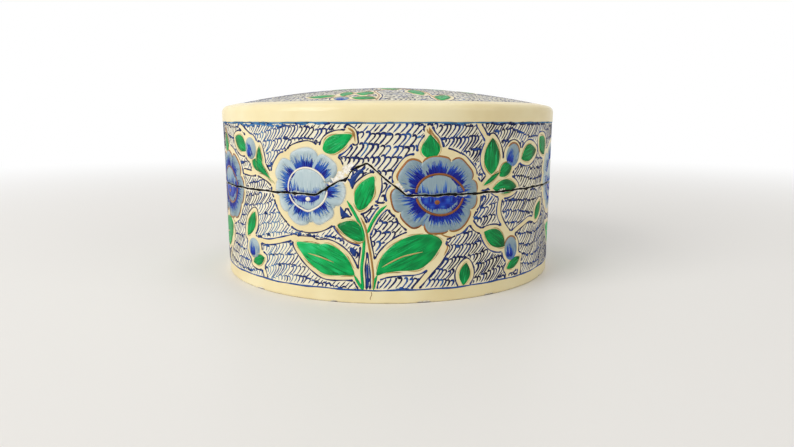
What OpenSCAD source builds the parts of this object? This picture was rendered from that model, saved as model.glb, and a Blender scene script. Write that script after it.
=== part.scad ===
// A round papier mache box: a base and a lift-off lid, sawn from one tube
// along a line with a single tongue that lets the lid close one way round.
// Z is up, the box stands on z = 0, and the tongue is at the front, towards -Y.

/* [Box] */
// Outside diameter over the painted coat
body_d = 100; // [80:1:125]
// Height of the crown of the lid above the table
crown_z = 53.6; // [50:0.1:60]
// Height that the dome gains from its shoulder to its crown
dome_rise = 5.5; // [3:0.1:8]
// Radius of the rounded shoulder between wall and dome
shoulder_r = 2; // [1.2:0.1:3]

/* [Walls] */
// Thickness of the pulp in the tube, the dome and the floor
pulp_t = 3; // [2:0.1:4]
// Thickness of the chalk ground and paint over the pulp
coat_t = 0.6; // [0.3:0.1:0.9]
// How far the floor is set up from the table
floor_recess = 1; // [0.4:0.1:2]
// Radius of the rounded lower edge of the coat
foot_r = 0.5; // [0.2:0.05:0.55]

/* [Saw cut] */
// Height of the level part of the cut
seam_z = 26.4; // [23:0.1:30]
// Height of the tongue above the level cut
tongue_h = 7.6; // [4:0.1:9]
// Place of the tongue's peak, left of the middle
tongue_peak_x = -5; // [-10:0.1:1]
// Place where the slow left flank begins
tongue_left_x = -17.4; // [-24:0.1:-14]
// Place where the straight right flank ends
tongue_right_x = 4.3; // [2:0.1:12]
// Width that the worn paint leaves open along the cut
seam_gap = 0.4; // [0.2:0.05:0.8]

/* [Collar] */
// Thickness of the card collar that the lid slides over
collar_t = 1.6; // [1:0.1:2.5]
// Height of the collar above the peak of the tongue
collar_reach = 3; // [1:0.1:5]
// Radial play between the collar and the bore of the lid
collar_play = 0.3; // [0.2:0.05:0.6]

/* [Hidden] */
$fn = 128;

coat_r = body_d / 2;
pulp_r = coat_r - coat_t;
bore_r = pulp_r - pulp_t;
lid_bore_r = bore_r + collar_play;
collar_bore_r = bore_r - collar_t;
floor_top_z = floor_recess + pulp_t;

// The dome is part of a ball through the shoulder and the crown
dome_edge_r = coat_r - shoulder_r;
dome_r = (pow(dome_edge_r, 2) + pow(dome_rise, 2)) / (2 * dome_rise);
dome_centre_z = crown_z - dome_r;
// Centre of the shoulder's rounding, which touches wall and dome alike
shoulder_z = dome_centre_z + sqrt(pow(dome_r - shoulder_r, 2) - pow(dome_edge_r, 2));
// Height where the rim of the dome stands on the lid's tube
joint_z = shoulder_z - shoulder_r;
// The collar stops short of the dome
collar_top_z = min(seam_z + tongue_h + collar_reach, joint_z - collar_play);

// Play between the tongue and the notch that takes it
notch_play = 0.25;
overlap = 1;
beyond = 20;

// Strokes of the saw up the left flank, as shares of its width and height
saw_strokes = [
    [0, 0], [0.19, 0.16], [0.3, 0.29], [0.45, 0.45], [0.61, 0.51], [0.7, 0.76], [0.78, 0.86], [1, 1]
];

tongue_outline = [
    [tongue_left_x, seam_z - overlap],
    for (s = saw_strokes)
        [tongue_left_x + (tongue_peak_x - tongue_left_x) * s[0], seam_z + tongue_h * s[1]],
    [tongue_right_x, seam_z],
    [tongue_right_x, seam_z - overlap]
];

// The tongue as a block sawn through the front wall, raised by lift
module tongue_block(lift) {
    translate([0, 0, lift])
        rotate([90, 0, 0])
            linear_extrude(height = coat_r + beyond)
                polygon(tongue_outline);
}

// All that lies under the cut, raised by lift
module under_cut(lift) {
    union() {
        translate([0, 0, -beyond])
            cylinder(r = coat_r + beyond, h = seam_z + beyond + lift);
        tongue_block(lift);
    }
}

module tube(outer_r, inner_r, low_z, high_z) {
    translate([0, 0, low_z])
        difference() {
            cylinder(r = outer_r, h = high_z - low_z);
            translate([0, 0, -overlap])
                cylinder(r = inner_r, h = high_z - low_z + 2 * overlap);
        }
}

// Half section of the closed box, drawn inset from its painted surface
module half_section(inset) {
    union() {
        square([coat_r - inset, shoulder_z]);
        translate([dome_edge_r, shoulder_z])
            circle(r = shoulder_r - inset);
        intersection() {
            translate([0, dome_centre_z])
                circle(r = dome_r - inset);
            polygon([
                [0, 0],
                [dome_edge_r, 0],
                [dome_edge_r, shoulder_z],
                dome_shoulder_point(beyond),
                [0, crown_z + beyond]
            ]);
        }
    }
}

// Point on the line from the ball's centre through the shoulder's centre
function dome_shoulder_point(past) =
    let (reach = (dome_r - shoulder_r + past) / (dome_r - shoulder_r))
    [dome_edge_r * reach, dome_centre_z + (shoulder_z - dome_centre_z) * reach];

// Wall of the base: rolled pulp tube with the tongue at the front
module base_wall() {
    color("#4a4038")
        intersection() {
            tube(pulp_r, bore_r, 0, seam_z + tongue_h + overlap);
            under_cut(0);
        }
}

// Floor of the base: pressed pulp disc, glued in above the foot
module base_floor() {
    color("#2b2724")
        translate([0, 0, floor_recess])
            cylinder(r = bore_r, h = pulp_t);
}

// Collar: card ring on the floor, glued in the base and standing up into the lid
module collar() {
    color("#1c1a19")
        tube(bore_r, collar_bore_r, floor_top_z, collar_top_z);
}

// Coat of the base: chalk ground and paint, worn back from the cut
module base_coat() {
    color("#e9dcae")
        intersection() {
            rotate_extrude()
                difference() {
                    coat_section();
                    square([pulp_r, crown_z]);
                }
            under_cut(-seam_gap / 2);
        }
}

// Half section of the base's coat with its rounded lower edge
module coat_section() {
    union() {
        translate([0, foot_r])
            square([coat_r, crown_z]);
        square([coat_r - foot_r, foot_r]);
        translate([coat_r - foot_r, foot_r])
            circle(r = foot_r);
    }
}

// Wall of the lid: the upper part of the same tube, rubbed out to clear the collar
module lid_wall() {
    color("#4a4038")
        difference() {
            tube(pulp_r, lid_bore_r, seam_z, joint_z);
            tongue_block(notch_play);
        }
}

// Dome of the lid: moulded pulp cap that stands on the tube
module lid_dome() {
    color("#4a4038")
        rotate_extrude()
            difference() {
                intersection() {
                    half_section(coat_t);
                    translate([0, joint_z])
                        square([coat_r, crown_z]);
                }
                intersection() {
                    translate([0, dome_centre_z])
                        circle(r = dome_r - coat_t - pulp_t);
                    square([lid_bore_r, crown_z]);
                }
            }
}

// Coat of the lid: one skin of chalk ground and paint over tube and dome
module lid_coat() {
    color("#e9dcae")
        difference() {
            rotate_extrude()
                difference() {
                    half_section(0);
                    half_section(coat_t);
                }
            under_cut(seam_gap / 2);
        }
}

base_wall();
base_floor();
collar();
base_coat();
lid_wall();
lid_dome();
lid_coat();
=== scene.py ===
import math

import bpy
import numpy as np
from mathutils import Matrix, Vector
from mathutils.geometry import delaunay_2d_cdt


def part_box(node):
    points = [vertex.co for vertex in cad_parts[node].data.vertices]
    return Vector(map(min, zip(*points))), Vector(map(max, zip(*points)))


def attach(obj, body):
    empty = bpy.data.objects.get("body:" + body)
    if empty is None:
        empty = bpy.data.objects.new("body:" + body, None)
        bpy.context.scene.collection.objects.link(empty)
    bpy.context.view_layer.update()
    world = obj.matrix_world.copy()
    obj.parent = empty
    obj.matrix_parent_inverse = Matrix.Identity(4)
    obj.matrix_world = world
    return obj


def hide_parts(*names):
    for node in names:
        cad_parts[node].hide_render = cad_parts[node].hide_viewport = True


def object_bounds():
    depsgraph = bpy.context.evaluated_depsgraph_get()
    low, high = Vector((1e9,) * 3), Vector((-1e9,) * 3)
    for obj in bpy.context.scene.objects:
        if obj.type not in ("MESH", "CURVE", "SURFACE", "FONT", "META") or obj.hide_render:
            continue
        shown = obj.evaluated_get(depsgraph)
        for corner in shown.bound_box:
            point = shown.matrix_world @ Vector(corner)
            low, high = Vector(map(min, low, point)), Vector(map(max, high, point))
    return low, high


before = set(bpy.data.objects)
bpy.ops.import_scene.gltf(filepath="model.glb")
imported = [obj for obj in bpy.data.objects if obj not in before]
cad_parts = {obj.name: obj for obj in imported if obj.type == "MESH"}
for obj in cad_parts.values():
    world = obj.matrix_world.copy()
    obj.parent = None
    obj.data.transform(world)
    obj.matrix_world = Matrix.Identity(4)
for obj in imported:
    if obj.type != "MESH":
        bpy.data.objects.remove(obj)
cad_low, cad_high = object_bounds()


# The shell: base_wall, lid_wall and lid_dome.
# Paper pulp, pressed round a former in layers and dried to a grey-brown board, then
# sawn in two. The lid's bore is rubbed back and brushed with black lacquer.

MM = 0.001


def srgb(code):
    """Linear colour of an sRGB hex value."""
    parts = [int(code[i:i + 2], 16) / 255 for i in (1, 3, 5)]
    return (*[c / 12.92 if c <= 0.04045 else ((c + 0.055) / 1.055) ** 2.4 for c in parts], 1.0)


def across(size_mm):
    """Texture scale at which a feature is size_mm across, on coordinates in metres."""
    return 1 / (size_mm * MM)


def wire(material, node, links):
    """Links outputs of other nodes to a node's sockets."""
    for name, source in links.items():
        material.node_tree.links.new(source, node.inputs[name])


def add_node(material, kind, settings=None, links=None):
    """Adds a node. Settings name its properties, its sockets or the stops of its ramp.

    A socket goes by its number where several have the same name.
    """
    node = material.node_tree.nodes.new(kind)
    for name, value in (settings or {}).items():
        if name == "stops":
            ramp = node.color_ramp.elements
            while len(ramp) < len(value):
                ramp.new(1.0)
            for stop, (place, colour) in zip(ramp, value):
                stop.position = place
                stop.color = srgb(colour)
        elif isinstance(name, int) or name in node.inputs:
            node.inputs[name].default_value = value
        else:
            setattr(node, name, value)
    wire(material, node, links or {})
    return node


def new_material(name, settings):
    """A material whose Principled shader has these settings."""
    material = bpy.data.materials.new(name)
    material.use_nodes = True
    shader = material.node_tree.nodes["Principled BSDF"]
    for socket, value in settings.items():
        shader.inputs[socket].default_value = value
    return material, shader


def dress(node_name, material):
    """Puts a material on a CAD node."""
    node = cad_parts[node_name]
    node.data.materials.clear()
    node.data.materials.append(material)


def shell_pulp():
    """Dried paper pulp: dull and fibrous where it is sawn, near-black on its outer face, which shows only
    down the seam's groove (a black stain and painted shade of the groove), black in the bore.
    """
    material, shader = new_material("paper_pulp_with_lacquered_bore", {"Specular IOR Level": 0.3})
    place = add_node(material, "ShaderNodeTexCoord")
    stains = add_node(material, "ShaderNodeTexNoise", {"Scale": across(6), "Detail": 4.0},
                      {"Vector": place.outputs["Object"]})
    thin = add_node(material, "ShaderNodeMapping", {"Scale": (1.0, 1.0, 5.0)},
                    {"Vector": place.outputs["Object"]})
    fibres = add_node(material, "ShaderNodeTexNoise",
                      {"Scale": across(1.1), "Detail": 6.0, "Roughness": 0.7},
                      {"Vector": thin.outputs["Vector"]})
    blend = add_node(material, "ShaderNodeMix", {"data_type": "FLOAT", 0: 0.5},
                     {2: stains.outputs["Fac"], 3: fibres.outputs["Fac"]})
    sawn = add_node(material, "ShaderNodeValToRGB",
                    {"stops": [(0.36, "#241a12"), (0.5, "#4a3726"), (0.66, "#7a6248")]},
                    {"Fac": blend.outputs[0]})
    flat = add_node(material, "ShaderNodeVectorMath", {"operation": "MULTIPLY", 1: (1.0, 1.0, 0.0)},
                    {0: place.outputs["Object"]})
    outward = add_node(material, "ShaderNodeVectorMath", {"operation": "NORMALIZE"},
                       {0: flat.outputs["Vector"]})
    facing = add_node(material, "ShaderNodeVectorMath", {"operation": "DOT_PRODUCT"},
                      {0: outward.outputs["Vector"], 1: place.outputs["Normal"]})
    skin = add_node(material, "ShaderNodeMapRange", {"From Min": 0.3, "From Max": 0.6},
                    {"Value": facing.outputs["Value"]})
    bore = add_node(material, "ShaderNodeMapRange", {"From Min": -0.3, "From Max": -0.6},
                    {"Value": facing.outputs["Value"]})
    height = add_node(material, "ShaderNodeSeparateXYZ", {}, {0: place.outputs["Object"]})
    high = add_node(material, "ShaderNodeMapRange", {"From Min": 3 * MM, "From Max": 6 * MM},
                    {"Value": height.outputs["Z"]})
    # Painted shade and stain: the outer face above the foot, seen only down the seam's groove, is made
    # near-black so that the groove reads dark.
    outer_face_in_groove = add_node(material, "ShaderNodeMath", {"operation": "MULTIPLY"},
                      {0: skin.outputs["Result"], 1: high.outputs["Result"]})
    groove_shade_and_stain = add_node(material, "ShaderNodeMix", {"data_type": "RGBA", 7: srgb("#0b0908")},
                      {0: outer_face_in_groove.outputs["Value"], 6: sawn.outputs["Color"]})
    lacquered = add_node(material, "ShaderNodeMix", {"data_type": "RGBA", 7: srgb("#100d0c")},
                         {0: bore.outputs["Result"], 6: groove_shade_and_stain.outputs[2]})
    shine = add_node(material, "ShaderNodeMapRange", {"To Min": 0.9, "To Max": 0.3},
                     {"Value": bore.outputs["Result"]})
    bump = add_node(material, "ShaderNodeBump", {"Strength": 0.6, "Distance": 0.15 * MM},
                    {"Height": fibres.outputs["Fac"]})
    wire(material, shader, {"Base Color": lacquered.outputs[2], "Roughness": shine.outputs["Result"],
                            "Normal": bump.outputs["Normal"]})
    return material


def black_lacquer(name):
    """Black lacquer brushed on pulp: glossy, with faint brush waves and dull worn patches."""
    material, shader = new_material(name, {"Specular IOR Level": 0.3, "Coat Weight": 0.25,
                                           "Coat Roughness": 0.12})
    place = add_node(material, "ShaderNodeTexCoord")
    wear = add_node(material, "ShaderNodeTexNoise", {"Scale": across(9), "Detail": 5.0},
                    {"Vector": place.outputs["Object"]})
    colour = add_node(material, "ShaderNodeValToRGB",
                      {"stops": [(0.4, "#0b0909"), (0.62, "#15110f"), (0.8, "#2a211b")]},
                      {"Fac": wear.outputs["Fac"]})
    dull = add_node(material, "ShaderNodeMapRange",
                    {"From Min": 0.4, "From Max": 0.75, "To Min": 0.22, "To Max": 0.5},
                    {"Value": wear.outputs["Fac"]})
    waves = add_node(material, "ShaderNodeTexNoise", {"Scale": across(2.5), "Detail": 2.0},
                     {"Vector": place.outputs["Object"]})
    bump = add_node(material, "ShaderNodeBump", {"Strength": 0.25, "Distance": 0.12 * MM},
                    {"Height": waves.outputs["Fac"]})
    wire(material, shader, {"Base Color": colour.outputs["Color"], "Roughness": dull.outputs["Result"],
                            "Normal": bump.outputs["Normal"]})
    return material


pulp = shell_pulp()
dress("base_wall", pulp)
dress("lid_wall", pulp)
dress("lid_dome", black_lacquer("lid_lining_lacquer"))


# The floor of the base: base_floor.
# A pressed pulp disc, glued in just above the foot and lacquered black on both faces.

dress("base_floor", black_lacquer("floor_lacquer"))


# The collar, which the lid slides over.
# A strip of card rolled into a ring and lapped at the back, glued inside the base, then
# lacquered. Its lip is rounded and wavers a little, as a hand-cut strip does.

collar_low, collar_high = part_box("collar")
collar_r = 46.4
card = 1.6
collar_columns = 256
lap_angle = math.radians(155)
lap_width = math.radians(7)
lap_fade = math.radians(1.5)
lap_step = 0.16
lip_drop = 0.22


def new_object(name, data):
    """An object of the scene, made of this mesh, lamp or camera."""
    made = bpy.data.objects.new(name, data)
    bpy.context.scene.collection.objects.link(made)
    return made


def smooth_piece(name, points, faces):
    """A smooth-shaded piece from its points in millimetres and its faces."""
    mesh = bpy.data.meshes.new(name)
    mesh.from_pydata((points * MM).tolist(), [], faces)
    mesh.polygons.foreach_set("use_smooth", [True] * len(faces))
    mesh.update()
    return new_object(name, mesh)


def ring_piece(name, rows):
    """A closed skin of rings of points, one quad between neighbours, the last ring joined to the first."""
    rows = np.array(rows, float)
    count, columns = rows.shape[:2]
    faces = []
    for i in range(count):
        j = (i + 1) % count
        for k in range(columns):
            m = (k + 1) % columns
            faces.append((i * columns + k, i * columns + m, j * columns + m, j * columns + k))
    return smooth_piece(name, rows.reshape(-1, 3), faces)


def collar_rows():
    """Rings of the collar: up its outside, over the rounded lip and down its bore."""
    turn = np.linspace(0, 2 * math.pi, collar_columns, endpoint=False)
    lap = np.clip((lap_width - np.abs(turn - lap_angle)) / lap_fade, 0, 1)
    waver = 0.12 * np.sin(3 * turn + 1) + 0.08 * np.sin(11 * turn)
    top, foot = collar_high.z / MM - lip_drop, collar_low.z / MM
    half = card / 2
    profile = [(collar_r - card, share, 0.0) for share in (0.0, 0.25, 0.5, 0.75, 0.94)]
    profile += [(collar_r - half - half * math.cos(a), 1.0, math.sin(a) * half - half)
                for a in np.linspace(0, math.pi, 9)]
    profile += [(collar_r, share, 0.0) for share in (0.94, 0.75, 0.5, 0.25, 0.0)]
    rows = []
    for r, share, rise in profile:
        inward = r - lap_step * lap * (r < collar_r - half)
        z = foot + (top + waver - foot) * share + rise
        rows.append(np.stack([inward * np.sin(turn), -inward * np.cos(turn), z], -1))
    return rows[::-1]


collar = ring_piece("collar_ring", collar_rows())
collar.data.materials.append(black_lacquer("collar_lacquer"))
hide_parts("collar")
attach(collar, "base")


# The saw cut and the worn edges beside it.
# The maker sawed the closed shell by hand along a pencil line with one tongue. Paint and
# chalk have crumbled away at both lips, most where the blade turned.

seam_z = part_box("lid_wall")[0].z / MM
tongue_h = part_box("base_wall")[1].z / MM - seam_z
tongue_left_x = -17.4
tongue_peak_x = -5.0
tongue_right_x = 4.3
saw_strokes = [
    (0, 0), (0.19, 0.16), (0.3, 0.29), (0.45, 0.45), (0.61, 0.51), (0.7, 0.76), (0.78, 0.86), (1, 1),
]
saw_snags = [-24.0, -14.9, -10.2, 16.4, 41.0, 88.0, 131.0, -62.0, -118.0]
half_kerf = 0.13
crumbling = 0.32
wall_r = 49.7
turn_mm = 2 * math.pi * wall_r

# Places where the coat has flaked off: round the box, height, half width, half height
chips = [
    (-14.4, 29.3, 1.2, 0.4), (-12.9, 30.2, 1.2, 0.6), (-11.4, 31.3, 1.2, 0.8), (-10.0, 32.6, 1.0, 0.9),
    (-8.9, 33.7, 0.8, 0.7), (2.4, 29.0, 0.7, 0.5), (3.3, 28.0, 0.7, 0.7), (4.3, 27.1, 0.9, 0.35),
    (30.5, 26.9, 0.9, 0.25), (-34.0, 26.9, 0.8, 0.25), (71.0, 26.9, 1.0, 0.35), (118.0, 26.0, 1.2, 0.3),
    (-96.0, 26.9, 0.9, 0.3), (-37.0, 0.1, 1.4, 0.5), (-13.5, 0.0, 1.1, 0.4), (9.0, 0.1, 2.2, 0.45),
    (27.0, 0.0, 1.6, 0.5), (52.0, 0.1, 1.0, 0.6), (-70.0, 0.1, 1.8, 0.5), (96.0, 0.0, 2.0, 0.5),
    (-128.0, 0.1, 1.5, 0.5),
]


def wrapped(u):
    """A place round the box, brought within half a turn of the front."""
    return (u + turn_mm / 2) % turn_mm - turn_mm / 2


def seam_height(u):
    """Height of the saw cut at a place round the box."""
    u = wrapped(np.asarray(u, float))
    x = wall_r * np.sin(u / wall_r)
    flank = tongue_peak_x - tongue_left_x
    xs = [tongue_left_x + flank * share for share, _ in saw_strokes] + [tongue_right_x]
    rises = [tongue_h * share for _, share in saw_strokes] + [0.0]
    front = np.abs(u) < wall_r * math.pi / 2
    return seam_z + np.where(front, np.interp(x, xs, rises, 0.0, 0.0), 0.0)


def ragged(u, seed):
    """Uneven crumbling of a lip, from 0 to 1, the same at both ends of the turn."""
    a = 2 * math.pi * np.asarray(u, float) / turn_mm
    wave = np.sin(31 * a + seed) + 0.8 * np.sin(53 * a + 2.3 * seed) + 0.6 * np.sin(97 * a + 3.1 * seed)
    wave += 0.5 * np.sin(171 * a + 1.7 * seed)
    return np.clip(0.5 + wave / 4.4, 0, 1) ** 1.5


def torn(u):
    """Small tears where the saw snagged."""
    u = np.asarray(u, float)
    return sum(0.4 * np.exp(-((u - place) / 0.32) ** 2) for place in saw_snags)


def lower_lip(u):
    """Height of the base's painted edge."""
    return seam_height(u) - half_kerf - crumbling * ragged(u, 1.0) - torn(u)


def upper_lip(u):
    """Height of the lid's painted edge."""
    return seam_height(u) + half_kerf + crumbling * ragged(u, 5.0) + 0.5 * torn(u)


def bareness(points):
    """How far the coat has flaked off at places on the wall: above 0 inside a chip."""
    deepest = np.full(len(points), -1.0)
    for u, z, half_u, half_z in chips:
        away = wrapped(points[:, 0] - u)
        rim = 1 + 0.35 * np.sin(points[:, 0] * 3.1 + points[:, 1] * 2.3 + u)
        rim = rim + 0.35 * np.sin(points[:, 0] * 6.3 - points[:, 1] * 5.7 + 2 * u)
        shape = (away / half_u) ** 2 + ((points[:, 1] - z) / half_z) ** 2
        deepest = np.maximum(deepest, rim - shape)
    u, z = points[:, 0], points[:, 1]
    to_lip = np.where(z < seam_height(u), lower_lip(u) - z, z - upper_lip(u))
    crumbled = 0.42 * ragged(u, 3.0) - 0.05
    return np.clip(np.maximum(deepest, (crumbled - to_lip) / 0.15), -1.0, 1.0)


# The drawing, set out on the unrolled wall and on the dome.
# Lengths are millimetres: round the box from the middle of the front, and up from the
# foot. Each motif keeps a halo of bare cream ground, and blue hatching fills the rest.


def smooth(points, closed=True, step=0.35):
    """Samples a rounded curve through given points."""
    p = np.array(points, float)
    before, after = (p[-1:], p[:2]) if closed else (2 * p[0] - p[1], 2 * p[-1] - p[-2])
    p = np.vstack([before, p, after])
    run = []
    for a, b, c, d in zip(p[:-3], p[1:-2], p[2:-1], p[3:]):
        t = np.linspace(0, 1, max(2, int(np.linalg.norm(c - b) / step)), endpoint=False)[:, None]
        bend = (2 * a - 5 * b + 4 * c - d) * t ** 2 + (3 * b - a - 3 * c + d) * t ** 3
        run.append(b + 0.5 * ((c - a) * t + bend))
    if not closed:
        run.append(p[-2:-1])
    return np.concatenate(run)


def unit(vectors):
    """The same directions, each of length 1."""
    return vectors / (np.linalg.norm(vectors, axis=1)[:, None] + 1e-12)


def length_along(line):
    """Distance from a line's start to each of its points."""
    return np.concatenate([[0], np.cumsum(np.linalg.norm(np.diff(line, axis=0), axis=1))])


def anticlockwise(loop):
    """The loop, run anticlockwise."""
    x, y = loop[:, 0], loop[:, 1]
    return loop if np.sum(x * np.roll(y, -1) - np.roll(x, -1) * y) > 0 else loop[::-1]


def inside(points, loop):
    """Which points lie inside a loop."""
    x, y = points[:, 0], points[:, 1]
    hit = np.zeros(len(points), bool)
    for (ax, ay), (bx, by) in zip(loop, np.roll(loop, -1, 0)):
        spans = (ay > y) != (by > y)
        hit ^= spans & (x < (bx - ax) * (y - ay) / (by - ay + 1e-12) + ax)
    return hit


def nearest(points, line, closed):
    """Distance from each point to a line."""
    best = np.full(len(points), 1e9)
    ends = np.roll(line, -1, 0) if closed else line[1:]
    for a, b in zip(line, ends):
        along = np.clip((points - a) @ (b - a) / max((b - a) @ (b - a), 1e-12), 0, 1)
        gap = points - a - along[:, None] * (b - a)
        best = np.minimum(best, (gap ** 2).sum(1))
    return np.sqrt(best)


def push_out(loop, gap):
    """A loop grown by gap, with round corners."""
    loop = anticlockwise(loop)
    edge = np.roll(loop, -1, 0) - loop
    normal = unit(np.stack([edge[:, 1], -edge[:, 0]], -1))
    grown = []
    for at, a, b in zip(loop, np.roll(normal, 1, 0), normal):
        turn = math.atan2(a[0] * b[1] - a[1] * b[0], a @ b)
        for t in np.linspace(0, 1, 2 + int(max(turn, 0) / 0.3)):
            mix = a * (1 - t) + b * t
            grown.append(at + gap * mix / (np.linalg.norm(mix) + 1e-12))
    return np.array(grown)


def widen(line, gap):
    """The loop round an open line at gap, with round ends."""
    step = np.gradient(line, axis=0)
    side = unit(np.stack([step[:, 1], -step[:, 0]], -1))
    caps = []
    for at, first in ((line[-1], side[-1]), (line[0], -side[0])):
        start = math.atan2(first[1], first[0])
        caps.append([at + gap * np.array([math.cos(start + t), math.sin(start + t)])
                     for t in np.linspace(0.3, math.pi - 0.3, 7)])
    return np.vstack([line + side * gap, caps[0], (line - side * gap)[::-1], caps[1]])


def runs(points, keep, shortest=0.3):
    """The stretches of a line whose points are all kept."""
    found, start = [], None
    for i, good in enumerate([*keep, False]):
        if good and start is None:
            start = i
        elif not good and start is not None:
            part = points[start:i]
            if len(part) > 1 and np.linalg.norm(np.diff(part, axis=0), axis=1).sum() > shortest:
                found.append(part)
            start = None
    return found


def ring_runs(loop, keep, shortest):
    """The stretches of a closed line whose points are all kept."""
    first = int(np.argmin(keep))
    return runs(np.roll(loop, -first, 0), np.roll(keep, -first), shortest)


class Ground:
    """A face of the box that is drawn on, with a fine grid of distances to the halos."""

    # Step of the grid, what it holds far from all halos, and how far past a halo it is worked out
    step = 0.25
    no_halo = 9.0
    reach = 2.0

    def __init__(self, low, high, wraps, place, chart):
        self.low = np.array(low, float)
        self.wraps = wraps
        self.place = place
        self.chart = chart
        self.size = np.ceil((np.array(high) - self.low) / self.step).astype(int) + 1
        self.grain = np.array([self.step, self.step])
        if wraps:
            self.size[0] = int(round(turn_mm / self.step))
            self.grain[0] = turn_mm / self.size[0]
        self.away = np.full(tuple(self.size), self.no_halo)
        self.halos = []

    def keep_clear(self, line, halo, closed=True):
        """Keeps hatching off a shape and a halo of bare ground round it."""
        self.halos.append((line, halo, closed))
        around = halo + self.reach
        first = np.floor((line.min(0) - around - self.low) / self.grain).astype(int)
        last = np.ceil((line.max(0) + around - self.low) / self.grain).astype(int)
        if not self.wraps:
            first[0], last[0] = max(first[0], 0), min(last[0], self.size[0] - 1)
        first[1], last[1] = max(first[1], 0), min(last[1], self.size[1] - 1)
        i, j = np.meshgrid(*(np.arange(a, b + 1) for a, b in zip(first, last)), indexing="ij")
        spots = np.stack([i.ravel(), j.ravel()], -1) * self.grain + self.low
        gap = nearest(spots, line, closed)
        if closed:
            gap = np.where(inside(spots, line), -gap, gap)
        at = (i.ravel() % self.size[0], j.ravel())
        self.away[at] = np.minimum(self.away[at], gap - halo)

    def room(self, points):
        """Distance outside every halo at each point, negative inside one."""
        q = (np.asarray(points, float) - self.low) / self.grain
        near = np.floor(q).astype(int)
        far = near + 1
        f = q - near
        columns, rows = self.size
        x0, x1 = (k % columns if self.wraps else np.clip(k, 0, columns - 1) for k in (near[:, 0], far[:, 0]))
        y0, y1 = (np.clip(k, 0, rows - 1) for k in (near[:, 1], far[:, 1]))
        low = self.away[x0, y0] * (1 - f[:, 0]) + self.away[x1, y0] * f[:, 0]
        high = self.away[x0, y1] * (1 - f[:, 0]) + self.away[x1, y1] * f[:, 0]
        return low * (1 - f[:, 1]) + high * f[:, 1]


# The coat's own shape: a plain wall, a cream band standing slightly proud round the
# shoulder, and the dome, a little lower than the band so that the drawing is protected.

crown_z = cad_high.z / MM
band_r = 49.93
band_z = 43.45
shoulder_r = 2.0
dome_rise = 5.5
dome_edge_r = 48.0
dome_ball_r = (dome_edge_r ** 2 + dome_rise ** 2) / (2 * dome_rise)
dome_line_r = 45.7
dome_dip = 0.13
grid_top = 50
grid_half = 50


def sway(u, z):
    """Slight unevenness of a hand-rolled wall."""
    a = 2 * math.pi * u / turn_mm
    slow = 0.028 * np.sin(9 * a + 0.11 * z) + 0.02 * np.sin(17 * a - 0.2 * z + 1)
    return slow + 0.012 * np.sin(0.5 * z + 5 * a)


def dome_height(r):
    """Height of the dome's paint ground at a distance from the axis."""
    ball = crown_z - 0.02 - dome_ball_r + np.sqrt(dome_ball_r ** 2 - r ** 2)
    return ball - dome_dip * np.clip((dome_line_r + 0.3 - r) / 0.6, 0, 1)


def wall_point(points, lift):
    """Points in space over places on the unrolled wall."""
    u, z = points[:, 0], points[:, 1]
    step_up = np.clip((z - band_z + 0.15) / 0.35, 0, 1)
    radius = wall_r + (band_r - wall_r) * step_up * step_up * (3 - 2 * step_up)
    radius = radius + sway(u, z) * (1 - 0.6 * step_up) + lift
    return np.stack([radius * np.sin(u / wall_r), -radius * np.cos(u / wall_r), z], -1)


def wall_chart(points):
    """Places of the wall on the bake chart, of which it has the lower half."""
    along = np.clip(points[:, 0] / turn_mm + 0.5, 0.001, 0.999)
    return np.stack([along, points[:, 1] / grid_top * 0.46 + 0.01], -1)


def dome_point(points, lift):
    """Points in space over places on the dome, seen from above."""
    r = np.hypot(points[:, 0], points[:, 1])
    return np.stack([points[:, 0], points[:, 1], dome_height(np.minimum(r, dome_edge_r)) + lift], -1)


def dome_chart(points):
    """Places of the dome on the bake chart, of which it has the upper half."""
    spots = points / (2 * grid_half)
    return np.stack([spots[:, 0] + 0.5, spots[:, 1] * 0.48 + 0.75], -1)


wall = Ground((-turn_mm / 2, 0), (turn_mm / 2, grid_top), True, wall_point, wall_chart)
dome = Ground((-grid_half, -grid_half), (grid_half, grid_half), False, dome_point, dome_chart)


# How paint goes on: strokes and filled shapes are laid as thin closed skins on a
# ground, cut at the saw line, and gathered by body and colour.

pots = {}
clear_of_lip = 0.03
soft_edge = 0.45
skin_under = 0.02


def into_pot(body, colour, verts, faces, chart, flow, tone):
    """Adds a skin to what is painted in one colour on one body."""
    pot = pots.setdefault((body, colour), {"verts": [], "faces": [], "chart": [], "flow": [], "tone": []})
    first = sum(len(v) for v in pot["verts"])
    pot["verts"].append(verts)
    pot["faces"].extend([tuple(first + i for i in face) for face in faces])
    pot["chart"].append(chart)
    pot["flow"].append(flow)
    pot["tone"].append(tone)


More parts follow.
